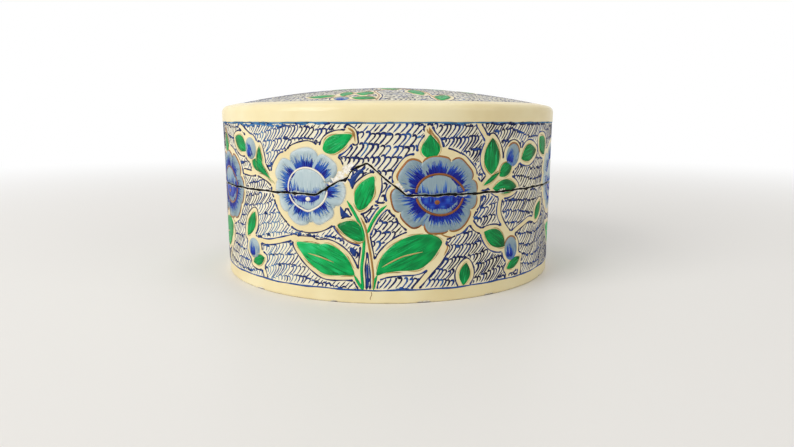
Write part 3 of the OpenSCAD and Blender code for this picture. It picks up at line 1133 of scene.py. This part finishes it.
def paint_flower(ground, flower, shift=(0, 0), jitter=0.0):
    """One open flower: eight petals round an eye-like disc, outlined in bronze or cream. The bronze-lined
    copy is painted in shade, darker; the cream-lined copy is painted lit, paler.
    """
    centre = np.array(flower["centre"], float) + shift
    shaded_gilt = flower["shaded_gilt"]
    # Painted shade and light: the gilt copy is darker with bronze lines, the lit copy paler with its gold
    # lines painted as cream.
    pale = 0.25 if shaded_gilt else 0.9
    line_paint = "gold_lines" if shaded_gilt else "cream_for_lit_gold"
    halo = flower_halo if shaded_gilt else flower_halo + 0.2
    shapes = []
    for angle, reach, half_width in flower["petals"]:
        petal = (angle + hand.normal(0, 12 * jitter), reach + hand.normal(0, jitter),
                 half_width * petal_plumpness)
        loop = anticlockwise(petal_loop(centre, *petal))
        shapes.append((petal, loop))
        ground.keep_clear(loop, halo)
    plain = sum(petal[1] for petal, _ in shapes) / len(shapes) - 0.2
    ground.keep_clear(oval(*centre, plain, plain, count=60), halo - 0.1)
    underpaint = oval(*centre, underpaint_r, underpaint_r, count=60)
    fill(ground, "petals", underpaint, lift=0.035, tone=pale - 0.2, spacing=0.9)
    for k, (petal, loop) in enumerate(shapes):
        paint_petal(ground, centre, petal, loop, shaded_gilt, petal_overlap * k)
        rim = push_out(loop, 0.12)
        clear = np.linalg.norm(rim - centre, axis=1) > rim_start_r
        for _, other in shapes:
            if other is not loop:
                clear &= ~inside(rim, other)
        for part in ring_runs(rim, clear, 0.6):
            if shaded_gilt:
                brush(ground, line_paint, part, hand.uniform(0.5, 0.75), lift=0.06,
                      tone=hand.uniform(-0.25, 0.2), ends=(1.0, 1.0))
            else:
                brush(ground, line_paint, part, 0.22, lift=0.05, tone=0.3, ends=(1.0, 1.0))
    paint_disc(ground, flower, shift, pale, line_paint)


for place, shift in enumerate(bouquet_shifts):
    for flower in flowers:
        paint_flower(wall, flower, (shift, 0), 0.0 if place == 0 else 0.12)


# The drawing on the dome, in the same hand.
# A middle flower, two side flowers and sprays of leaves and buds between them. Only
# its front edge shows in a level view.

def turned(points, angle):
    """Points of the dome's drawing turned about its crown."""
    c, s = math.cos(math.radians(angle)), math.sin(math.radians(angle))
    p = np.array(points, float).reshape(-1, 2)
    return np.stack([p[:, 0] * c - p[:, 1] * s, p[:, 0] * s + p[:, 1] * c], -1)


def dome_flower(scale, shaded_gilt):
    """A flower about its own centre."""
    petals = ((20, 9.8), (66, 9.6), (108, 9.9), (152, 9.7), (196, 9.8), (240, 9.6), (285, 9.8), (332, 9.7))
    return {"centre": (0, 0), "disc": (0.2, 0.1, 5.3 * scale, 5.0 * scale, 0), "shaded_gilt": shaded_gilt,
            "mouth": (0.0, -1.0 * scale, 3.9 * scale, 2.2 * scale), "dot": (-0.2, -2.0 * scale),
            "petals": [(angle, reach * scale, 3.2 * scale) for angle, reach in petals]}


spray_leaves = [
    ((-8.9, -40.4), (-3.0, -43.0), 4.4, 0.3), ((-6.2, -37.2), (-5.4, -29.6), 4.4, 0.0),
    ((-11.2, -37.4), (-10.4, -28.8), 3.4, -0.3), ((-13.2, -36.4), (-20.0, -34.6), 4.8, 0.3),
    ((8.8, -36.4), (6.6, -23.5), 3.8, 0.5), ((12.8, -43.0), (14.8, -34.0), 3.8, 0.4),
    ((-1.4, -13.6), (1.6, -24.8), 5.0, 0.5), ((-9.4, -9.8), (-16.0, -17.6), 4.8, 0.4),
    ((9.8, -9.6), (16.8, -16.0), 4.6, -0.4), ((20.5, -9.4), (23.5, -19.5), 4.2, 0.4),
    ((-32.5, -7.0), (-36.5, -16.5), 4.2, 0.4), ((38.0, -4.5), (41.5, -13.5), 3.8, -0.3),
]
spray_stems = [
    [(-2.9, -45.2), (-2.2, -37.7), (-3.6, -29.0), (-1.4, -24.8), (-0.4, -13.0)],
    [(12.2, -43.9), (10.6, -35.5), (9.6, -29.0), (5.2, -21.0), (0.4, -14.0)],
    [(-11.4, -38.6), (-8.4, -33.0), (-4.4, -28.6)],
]
for angle in (0, 180):
    for base, tip, width, bend in spray_leaves:
        base, tip = turned([base, tip], angle)
        paint_leaf(dome, leaf_loop(base, tip, width, bend), tip - base)
    bud = turned([(-11.3, -41.0)], angle)[0]
    paint_bud(dome, bud[0], bud[1], 1.9, 2.7, angle + 12, True)
    for stem in spray_stems:
        line = smooth(turned(stem, angle), False)
        dome.keep_clear(line, 0.8, closed=False)
        brush(dome, "gold_lines", line, 0.45, lift=0.05, tone=0.2, ends=(1.0, 1.0))
    side = turned([(26.0, 2.0)], angle)[0]
    paint_flower(dome, dome_flower(0.95, False), side, 0.1)
paint_flower(dome, dome_flower(1.0, True), (0, 0), 0.1)


# Blue hatching and outlines.
# Thinned blue drawn with a fine hair brush: one line round every halo, then rows of
# short leaning strokes that hook into the row above, darker where the brush paused.

floor_line = 3.4
top_line = 43.35
line_width = 0.36
row_rise = 2.88
dome_row_rise = 2.9


def draw_halo_lines(ground, keep_in):
    """One blue line round each group of halos, heavier where it meets another."""
    for line, halo, closed in ground.halos:
        loop = push_out(line, halo) if closed else widen(line, halo)
        clear = (ground.room(loop) > -0.07) & keep_in(loop)
        for part in ring_runs(loop, clear, 0.5):
            run = length_along(part)
            to_end = np.minimum(run, run[-1] - run)
            swell = 1 + 0.9 * np.exp(-(to_end / 0.7) ** 2) + 0.25 * np.sin(run * 1.3 + part[0, 0])
            brush(ground, "hatch", part, line_width, lift=0.05 if ground is wall else 0.02,
                  tone=hand.uniform(-0.3, 0.4), ends=(0.2, 0.2), swell=swell)


def draw_stroke(ground, line, keep_in, width, tone, swell=None, ends=(0.3, 0.25)):
    """One stroke of the hatching, kept off the halos."""
    clear = (ground.room(line) > 0.12) & keep_in(line)
    index = np.arange(len(line))
    for part in runs(np.column_stack([line, index]), clear, 0.35):
        heavy = None if swell is None else swell[part[:, 2].astype(int)]
        brush(ground, "hatch", part[:, :2], width, lift=0.045 if ground is wall else 0.015, tone=tone,
              ends=ends, swell=heavy)


def lean_strokes(ground, row_height, rows, low, high, spacing_at, width_at, paleness_at, keep_in):
    """Rows of strokes like a leaning 7: a short bar from the last stroke's top, then down and left.

    Some tops have a pool of colour, and some stretches of a row are underlined.
    """
    for k in rows:
        x = low + hand.uniform(0, 1)
        while x < high:
            top = row_height(k + 1, x) + hand.normal(0, 0.16)
            gap = spacing_at(x, top)
            tall = (top - row_height(k, x - 1.5)) * hand.uniform(0.95, 1.12)
            slant = tall * hand.uniform(0.52, 0.68)
            reach = gap * hand.uniform(0.6, 1.05)
            places = [(-reach, -0.35), (-0.4 * reach, 0.0), (0.05, -0.16), (0.1, -0.26 * tall),
                      (-0.36 * slant, -0.6 * tall), (-slant, -tall)]
            line = smooth(np.array(places) + (x, top), False, 0.5)
            along = np.linspace(0, 1, len(line))
            swell = 0.8 + 0.4 * np.sin(math.pi * np.minimum(along * 1.4, 1)) + 0.12 * np.sin(9 * along + x)
            width = width_at(x, top) * hand.uniform(0.8, 1.2)
            shade = paleness_at(x, top) + 0.3 * math.sin(x / 6.5 + 1) * math.sin(top / 5.5)
            draw_stroke(ground, line, keep_in, width, shade + hand.normal(-0.05, 0.3), swell, (0.2, 0.4))
            if hand.random() < 0.11:
                pool = np.stack([np.linspace(x - reach - 0.3, x + 0.1, 6), np.full(6, top - 0.14)], -1)
                draw_stroke(ground, pool, keep_in, hand.uniform(0.6, 0.95), hand.choice([-0.5, 0.5]))
            x += gap * hand.uniform(0.8, 1.2)
        x = np.arange(low, high, 0.45)
        underline = np.stack([x, row_height(k, x) + 0.09 * np.sin(x * 4.1 + k)], -1)
        present = np.sin(x * 0.5 + 2.1 * k) + np.sin(x * 0.21 + k) > 0.95
        for part in runs(underline, present, 1.5):
            draw_stroke(ground, part, keep_in, 0.3, hand.normal(0.1, 0.2))


def wall_row(k, u):
    """Height of a hatch row: rows climb beside each bouquet's flowers."""
    u = np.asarray(u, float)
    z = floor_line + 0.15 + row_rise * k + 0.3 * np.sin(u / 5.1 + 0.7 * k) + 0.16 * np.sin(u / 2.3 + 1.9 * k)
    for shift in bouquet_shifts:
        for side, climb in ((-29, 3.2), (27, 2.8)):
            x = wrapped(u - shift - side) / 12
            z = z + climb * x * np.exp(-x * x)
    return z


def dome_row(k, x):
    """Height of a hatch row on the dome."""
    x = np.asarray(x, float)
    return dome_row_rise * k + 0.9 * np.sin(x / 11 + 0.25 * k) + 0.3 * np.sin(x / 4.3 + 1.3 * k)


def in_wall_field(points):
    """Which places lie between the ruled lines."""
    return (points[:, 1] > floor_line + 0.1) & (points[:, 1] < top_line - 0.1)


def in_dome_field(points):
    """Which places lie inside the dome's ruled ring."""
    return np.hypot(points[:, 0], points[:, 1]) < dome_line_r - 0.2


def open_front(u, z):
    """1 in the middle of the front's upper half, where the strokes are wider apart."""
    return math.exp(-(u / 8) ** 2) * (1.0 if z > 31 else 0.3)


def finer_and_painted_sheen(u, z):
    """How much finer the strokes are at the left of the front's lower half, and how much paler there as
    painted sheen of the window's reflection.
    """
    return 0.16 * math.exp(-((u + 31) / 15) ** 2) * (1.0 if z < 24 else 0.6)


draw_halo_lines(wall, in_wall_field)
# The paleness of the strokes at the left of the front is painted sheen of the window's reflection.
lean_strokes(wall, wall_row, range(-2, 16), -turn_mm / 2, turn_mm / 2 - 0.3,
             lambda u, z: 1.02 + 0.45 * open_front(u, z),
             lambda u, z: 0.43 + 0.05 * open_front(u, z) - finer_and_painted_sheen(u, z),
             lambda u, z: 6 * finer_and_painted_sheen(u, z), in_wall_field)
draw_halo_lines(dome, in_dome_field)
lean_strokes(dome, dome_row, range(-18, 18), -47.0, 48.0,
             lambda u, z: 1.2, lambda u, z: 0.38, lambda u, z: 0.0, in_dome_field)

# Smudges of the upper ruled line: from, to, depth and tones
smudges = [
    (-46, -35, 1.0, (0.7, 1.2, 1.5)), (-34.5, -26.5, 0.85, (0.7, 1.1, 1.5)), (-24.5, -21.5, 0.3, (0.5, 1.2)),
    (-18.5, -15.5, 0.35, (0.3, 1.2)), (24, 49, 0.5, (-0.7, -0.2, 0.3)), (99, 121, 0.6, (-0.5, 0.8)),
    (-118, -104, 0.7, (0.2, 1.2)),
]


def ripple(u, count):
    """This many waves round the box."""
    return np.sin(u * count * 2 * math.pi / turn_mm)


# Ruled lines above the foot band and under the shoulder band, and round the dome. The
# upper one was gone over twice, with smudges, at the left and right of the front.
around = np.linspace(-turn_mm / 2, turn_mm / 2, 900)
for height, width, tone in ((floor_line, 0.42, 0.5), (top_line, 0.46, 1.4)):
    waver = height + 0.07 * ripple(around, 14) + 0.05 * ripple(around, 33)
    swell = 1 + 0.2 * ripple(around, 25) + 0.12 * ripple(around, 71)
    brush(wall, "hatch", np.stack([around, waver], -1), width, lift=0.06, tone=tone, swell=swell)
for first, last, depth, tones in smudges:
    for m in range(int((last - first) * 1.6)):
        u = hand.uniform(first, last)
        z = top_line - depth * hand.uniform(0.1, 1)
        run = np.linspace(0, hand.uniform(0.8, 2.6), 6)
        line = np.stack([u + run, z + 0.1 * np.sin(2 * run + u)], -1)
        brush(wall, "hatch", line, hand.uniform(0.3, 0.6), rest=0.01, lift=0.05, tone=hand.choice(tones))
crack = smooth([(-4.3, 3.1), (-4.1, 2.3), (-4.5, 1.5), (-4.4, 0.9)], False)
brush(wall, "gold_lines", crack, 0.15, lift=0.02, tone=-0.9)
turn = np.linspace(0, 2 * math.pi, 500)
ring = dome_line_r * np.stack([np.cos(turn), np.sin(turn)], -1)
brush(dome, "hatch", ring, 0.4, lift=0.05, tone=0.3)


# The coat: chalk and glue ground over the pulp, cream under the final varnish.
# Several brushed and rubbed layers, rounded at the foot, broken at the saw cut. The
# chalk shows white where it has flaked.

coat_back_r = 49.4
coat_columns = 640
foot_bevel = 0.3
foot_rise = 0.45
lip_rise = 0.12
flake_depth = 0.12
band_edge_z = 43.2
shoulder_z = crown_z - dome_ball_r + math.sqrt((dome_ball_r - shoulder_r) ** 2 - dome_edge_r ** 2)
shoulder_back_r = 1.45
dome_coat = 0.3
undrawn_r = 49.5
round_u = np.linspace(-turn_mm / 2, turn_mm / 2, coat_columns, endpoint=False)
bearing = np.stack([np.sin(round_u / wall_r), -np.cos(round_u / wall_r)], -1)


class Coat:
    """A coat built up ring by ring, each with its places in the drawing, for halo and wear."""

    def __init__(self):
        self.rows, self.spots, self.grounds = [], [], []

    def add(self, points, spots, ground):
        """A ring through these points."""
        self.rows.append(points)
        self.spots.append(spots)
        self.grounds.append(ground)

    def add_face(self, height, depth=0.0):
        """A ring on the wall's face, sunk where it has flaked, and pulled in by a depth."""
        spots = np.stack([round_u, height], -1)
        points = wall_point(spots, -flake_depth * np.clip(bareness(spots) * 4, 0, 1))
        r = np.hypot(points[:, 0], points[:, 1])
        pull = ((r - depth) / r)[:, None]
        self.add(np.column_stack([points[:, :2] * pull, points[:, 2]]), spots, wall)

    def add_back(self, height):
        """A ring on the back of the wall's coat."""
        self.add(np.column_stack([bearing * coat_back_r, height]), np.stack([round_u, height], -1), wall)

    def add_plain(self, r, z):
        """A level ring off the drawing, round the shoulder or on the back of the dome's coat."""
        r = np.broadcast_to(r, coat_columns)[:, None]
        self.add(np.column_stack([bearing * r, np.full(coat_columns, z)]), bearing * undrawn_r, dome)

    def join(self, name, body, node):
        """Joins the rings into the piece that stands for the CAD coat."""
        piece = ring_piece(name, self.rows)
        halo, bare, chart = [], [], []
        for spots, ground in zip(self.spots, self.grounds):
            drawn = in_wall_field(spots) if ground is wall else in_dome_field(spots)
            halo.append(np.where(drawn, ground.room(spots), -1.0))
            bare.append(bareness(spots) if ground is wall else np.full(len(spots), -1.0))
            chart.append(ground.chart(spots))
        note_points(piece.data, "halo", halo)
        note_points(piece.data, "bare", bare)
        chart_corners(piece.data, chart)
        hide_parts(node)
        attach(piece, body)
        return piece


# The base's coat, from its back round the foot and up to the lower lip
base_coat = Coat()
foot_chip = 0.14 * np.clip(bareness(np.stack([round_u, np.full(coat_columns, 0.1)], -1)), 0, 1) ** 0.5
foot_z = 0.02 + 0.05 * ragged(round_u, 9.0) + foot_chip
base_coat.add_back(foot_z)
for angle in np.linspace(0, math.pi / 2, 5):
    base_coat.add_face(foot_z + foot_rise * (1 - math.cos(angle)), foot_bevel * (1 - math.sin(angle)))
lip = lower_lip(round_u)
for share in np.linspace(0, 1, 74)[1:]:
    base_coat.add_face(foot_z + foot_rise + (lip - lip_rise - foot_z - foot_rise) * share)
for depth, rise in ((0.04, 0.07), (0.12, 0.11)):
    base_coat.add_face(lip - lip_rise + rise, depth)
base_coat.add_back(lip)
base_ground = base_coat.join("base_ground", "base", "base_coat")

# The lid's coat, from the upper lip over the shoulder to the crown, and back inside
lid_coat = Coat()
lip = upper_lip(round_u)
lid_coat.add_back(lip)
for depth, rise in ((0.12, 0.01), (0.04, 0.05), (0.0, 0.12)):
    lid_coat.add_face(lip + rise, depth)
for share in np.linspace(0, 1, 46)[1:]:
    lid_coat.add_face(lip + lip_rise + (band_edge_z - lip - lip_rise) * share)
for height in (43.3, 43.38, 43.46, 43.54, 43.62, 43.75, 44.3, 44.9, 45.5, shoulder_z):
    lid_coat.add_face(np.full(coat_columns, height))
for share in np.linspace(0, 1, 11)[1:]:
    tilt = share * (math.pi / 2 - math.asin(dome_edge_r / (dome_ball_r - shoulder_r)))
    r = dome_edge_r - 0.05 + (shoulder_r - 0.02) * math.cos(tilt)
    r = r + 0.4 * sway(round_u, shoulder_z) * (1 - share)
    lid_coat.add_plain(r, shoulder_z + (shoulder_r - 0.02) * math.sin(tilt))
shoulder_end = float(np.hypot(*lid_coat.rows[-1][0, :2]))
dome_radii = list(np.linspace(shoulder_end, dome_line_r + 0.4, 4)[1:])
dome_radii += [dome_line_r + 0.25, dome_line_r + 0.05, dome_line_r - 0.15, dome_line_r - 0.35]
dome_radii += list(np.linspace(dome_line_r - 0.35, 1.0, 46)[1:]) + [0.35, 0.02]
for r in dome_radii:
    lid_coat.add(dome_point(bearing * r, 0.0), bearing * r, dome)
for r in dome_radii[::-4]:
    lid_coat.add_plain(r, float(dome_height(np.array([r]))[0]) - dome_coat)
for tilt in np.radians([72, 50, 25, 0]):
    r = dome_edge_r + shoulder_back_r * math.cos(tilt)
    lid_coat.add_plain(r, shoulder_z + shoulder_back_r * math.sin(tilt))
lid_ground = lid_coat.join("lid_ground", "lid", "lid_coat")


def varnished(name, settings):
    """A paint under the shared varnish: a clear, slightly uneven coat over the colour."""
    plain = {"Roughness": 0.5, "Specular IOR Level": 0.12, "Coat Weight": 0.4, "Coat Roughness": 0.12}
    material, shader = new_material(name, {**plain, **settings})
    place = add_node(material, "ShaderNodeTexCoord")
    swell = add_node(material, "ShaderNodeTexNoise", {"Scale": across(3.5), "Detail": 2.0},
                     {"Vector": place.outputs["Object"]})
    bump = add_node(material, "ShaderNodeBump", {"Strength": 0.3, "Distance": 0.05 * MM},
                    {"Height": swell.outputs["Fac"]})
    wire(material, shader, {"Normal": bump.outputs["Normal"], "Coat Normal": bump.outputs["Normal"]})
    return material, shader, place


def cream_ground():
    """Chalk ground: warm cream under varnish, whiter between the hatching, white where flaked."""
    material, shader, place = varnished("cream_chalk_ground", {})
    halo = add_node(material, "ShaderNodeAttribute", {"attribute_name": "halo"})
    bare = add_node(material, "ShaderNodeAttribute", {"attribute_name": "bare"})
    cloud = add_node(material, "ShaderNodeTexNoise", {"Scale": across(14), "Detail": 3.0},
                     {"Vector": place.outputs["Object"]})
    cream = add_node(material, "ShaderNodeValToRGB",
                     {"stops": [(0.35, "#e4d2a0"), (0.55, "#eadbac"), (0.75, "#eee2b9")]},
                     {"Fac": cloud.outputs["Fac"]})
    inside_hatch = add_node(material, "ShaderNodeMapRange",
                            {"From Min": -0.1, "From Max": 0.35, "To Min": 0.0, "To Max": 0.7},
                            {"Value": halo.outputs["Fac"]})
    ivory = add_node(material, "ShaderNodeMix", {"data_type": "RGBA", 7: srgb("#ece8d3")},
                     {0: inside_hatch.outputs["Result"], 6: cream.outputs["Color"]})
    crumbs = add_node(material, "ShaderNodeTexNoise", {"Scale": across(0.6), "Detail": 3.0},
                      {"Vector": place.outputs["Object"]})
    edge = add_node(material, "ShaderNodeMath", {"operation": "MULTIPLY_ADD", 1: 0.5},
                    {0: crumbs.outputs["Fac"], 2: bare.outputs["Fac"]})
    flake = add_node(material, "ShaderNodeMapRange", {"From Min": 0.25, "From Max": 0.4},
                     {"Value": edge.outputs["Value"]})
    dirt = add_node(material, "ShaderNodeValToRGB",
                    {"stops": [(0.3, "#c6bba5"), (0.46, "#ebe4d5"), (0.62, "#f6f3ea")]},
                    {"Fac": crumbs.outputs["Fac"]})
    chalk = add_node(material, "ShaderNodeMix", {"data_type": "RGBA"},
                     {0: flake.outputs["Result"], 6: ivory.outputs[2], 7: dirt.outputs["Color"]})
    dull = add_node(material, "ShaderNodeMapRange", {"To Min": 0.5, "To Max": 0.85},
                    {"Value": flake.outputs["Result"]})
    wire(material, shader, {"Base Color": chalk.outputs[2], "Roughness": dull.outputs["Result"]})
    return material


coat_material = cream_ground()
base_ground.data.materials.append(coat_material)
lid_ground.data.materials.append(coat_material)


# The paints, laid on the ground.
# Poster colours in gum, opaque, streaked along the brush. Gold is bronze powder in gum,
# which has browned.

def streaked(name, stops, streak=(2.5, 0.35), settings=None, amount=0.5):
    """A paint whose tone runs through the stops, with streaks this long and wide in mm along its strokes."""
    material, shader, _ = varnished(name, settings or {})
    flow = add_node(material, "ShaderNodeAttribute", {"attribute_name": "flow"})
    tone = add_node(material, "ShaderNodeAttribute", {"attribute_name": "tone"})
    stretch = add_node(material, "ShaderNodeVectorMath",
                       {"operation": "MULTIPLY", 1: (1 / streak[0], 1 / streak[1], 1.0)},
                       {0: flow.outputs["Vector"]})
    hair = add_node(material, "ShaderNodeTexNoise", {"Scale": 1.0, "Detail": 3.0},
                    {"Vector": stretch.outputs["Vector"]})
    spread = add_node(material, "ShaderNodeMath", {"operation": "SUBTRACT", 1: 0.5},
                      {0: hair.outputs["Fac"]})
    deeper = add_node(material, "ShaderNodeMath", {"operation": "MULTIPLY_ADD", 1: amount * 2},
                      {0: spread.outputs["Value"], 2: tone.outputs["Fac"]})
    fit = add_node(material, "ShaderNodeMapRange", {"From Min": -1.0, "From Max": 1.5},
                   {"Value": deeper.outputs["Value"]})
    colour = add_node(material, "ShaderNodeValToRGB", {"stops": stops}, {"Fac": fit.outputs["Result"]})
    wire(material, shader, {"Base Color": colour.outputs["Color"]})
    return material


# Full and opaque, deep green where the brush was loaded and minty where it ran dry; on some leaves the paler
# tips are painted light
leaf_green = streaked("poster_green",
                      [(0.12, "#004f24"), (0.4, "#007c3c"), (0.6, "#00a852"), (0.88, "#38d08b")],
                      (3.0, 0.7), {"Coat Weight": 0.22, "Specular IOR Level": 0.06}, amount=0.32)
# Blue let into white: ink blue at the root, then a clear blue, then chalky grey-blue
petal_blue = streaked("poster_blue_and_white",
                      [(0.04, "#08127c"), (0.18, "#1a3aa8"), (0.33, "#3f78c2"), (0.45, "#7d949f"),
                       (0.76, "#adbfc4"), (0.96, "#ccd6d5")],
                      (2.5, 0.3), {"Coat Weight": 0.25, "Specular IOR Level": 0.06}, amount=0.25)
# Watery ultramarine, nearly black where it pooled and pale where the hair ran out
line_blue = streaked("thinned_blue",
                     [(0.1, "#0b0e2c"), (0.36, "#16245c"), (0.58, "#21468f"), (0.92, "#4a86b8")],
                     (1.5, 0.6), {"Coat Weight": 0.25, "Specular IOR Level": 0.06}, amount=0.4)
# A dull glint, brown like old copper, with straw left in the finest lines
gold = streaked("browned_bronze_powder",
                [(0.2, "#7e4218"), (0.45, "#a1682f"), (0.7, "#b4924e"), (0.9, "#d6c088")],
                (2.0, 0.4), {"Metallic": 0.15, "Roughness": 0.38})
# Gold lines painted as pale cream where the window lights them, a painted highlight: pale lines that stand
# up a little, lighter than the ground they cross
lit_gold_as_cream = streaked("cream_painted_as_lit_gold", [(0.3, "#e6d6a8"), (0.7, "#f2e6cc"), (0.9, "#f8f4ea")], (2.0, 0.4))

paints = {"hatch": (line_blue, "line_blue"), "leaves": (leaf_green, "leaf_green"),
          "petals": (petal_blue, "petal_blue"), "gold_lines": (gold, "bronze_line"),
          "cream_for_lit_gold": (lit_gold_as_cream, "painted_ground")}
for part in ("base", "lid", "dome"):
    for colour, (paint, slot) in paints.items():
        lay(part, colour, paint)


# The stand: a plain pale table, soft light from the left and a phone's wide lens
# close in front, as the photograph has it.

def show_white(material, into, shaded, mask=None):
    """Gives white where the camera or a mirror sees a surface, and the shaded look elsewhere."""
    rays = add_node(material, "ShaderNodeLightPath")
    mirror = add_node(material, "ShaderNodeMath", {"operation": "MAXIMUM"},
                      {0: rays.outputs["Is Glossy Ray"], 1: rays.outputs["Is Transmission Ray"]})
    seen = add_node(material, "ShaderNodeMath", {"operation": "MAXIMUM"},
                    {0: rays.outputs["Is Camera Ray"], 1: mirror.outputs["Value"]})
    share = seen.outputs["Value"]
    if mask is not None:
        masked = add_node(material, "ShaderNodeMath", {"operation": "MULTIPLY"}, {0: share, 1: mask})
        share = masked.outputs["Value"]
    kind = "ShaderNodeBackground" if shaded.type == "BACKGROUND" else "ShaderNodeEmission"
    white = add_node(material, kind, {"Color": (1.0, 1.0, 1.0, 1.0), "Strength": 1.0})
    mix = add_node(material, "ShaderNodeMixShader", {},
                   {0: share, 1: shaded.outputs[0], 2: white.outputs[0]})
    wire(material, into, {"Surface": mix.outputs[0]})


table_half = 3.0
table_corners = [(x * table_half, y * table_half, 0) for x, y in ((-1, -1), (1, -1), (1, 1), (-1, 1))]
mesh = bpy.data.meshes.new("table")
mesh.from_pydata(table_corners, [], [(0, 1, 2, 3)])
# Matt and a little grey, so that the box throws a soft shadow that fades into white
table_top, shader = new_material("pale_table", {"Roughness": 0.5, "Base Color": srgb("#e9e6e1")})
place = add_node(table_top, "ShaderNodeTexCoord")
away = add_node(table_top, "ShaderNodeVectorMath", {"operation": "LENGTH"}, {0: place.outputs["Object"]})
far = add_node(table_top, "ShaderNodeMapRange",
               {"From Min": 0.12, "From Max": 0.55, "interpolation_type": "SMOOTHSTEP"},
               {"Value": away.outputs["Value"]})
show_white(table_top, table_top.node_tree.nodes["Material Output"], shader, far.outputs["Result"])
mesh.materials.append(table_top)
table = new_object("table", mesh)

world = bpy.data.worlds.new("studio")
world.use_nodes = True
bpy.context.scene.world = world
room = world.node_tree.nodes["Background"]
room.inputs["Color"].default_value = srgb("#ffffff")
room.inputs["Strength"].default_value = 0.4
show_white(world, world.node_tree.nodes["World Output"], room)


def soft_light(name, place, aim, size, power):
    """A large soft light."""
    lamp = bpy.data.lights.new(name, "AREA")
    lamp.shape = "RECTANGLE"
    lamp.size, lamp.size_y = size
    lamp.energy = power
    light = new_object(name, lamp)
    light.location = place
    light.rotation_euler = (Vector(aim) - Vector(place)).to_track_quat("-Z", "Y").to_euler()


box_middle = (0, 0, 0.03)
soft_light("window", (-0.75, -0.55, 0.5), box_middle, (0.6, 0.7), 7.0)
soft_light("fill", (0.8, -0.5, 0.45), box_middle, (0.6, 0.6), 1.6)
soft_light("top", (0.0, 0.15, 0.9), box_middle, (0.8, 0.8), 2.2)

eye_distance = 184.64
eye_height = 43.93
tilt_down = 0.1765
turn_right = 0.0149
focal_px = 578.9
frame_px = 794
camera_data = bpy.data.cameras.new("camera")
camera_data.sensor_width = 36.0
camera_data.lens = focal_px / frame_px * camera_data.sensor_width
camera_data.clip_start = 0.01
camera = new_object("camera", camera_data)
camera.location = (0, -eye_distance * MM, eye_height * MM)
look = Vector((math.sin(turn_right) * math.cos(tilt_down), math.cos(turn_right) * math.cos(tilt_down),
               -math.sin(tilt_down)))
camera.rotation_euler = look.to_track_quat("-Z", "Y").to_euler()
bpy.context.scene.camera = camera
bpy.context.scene.view_settings.view_transform = "Standard"
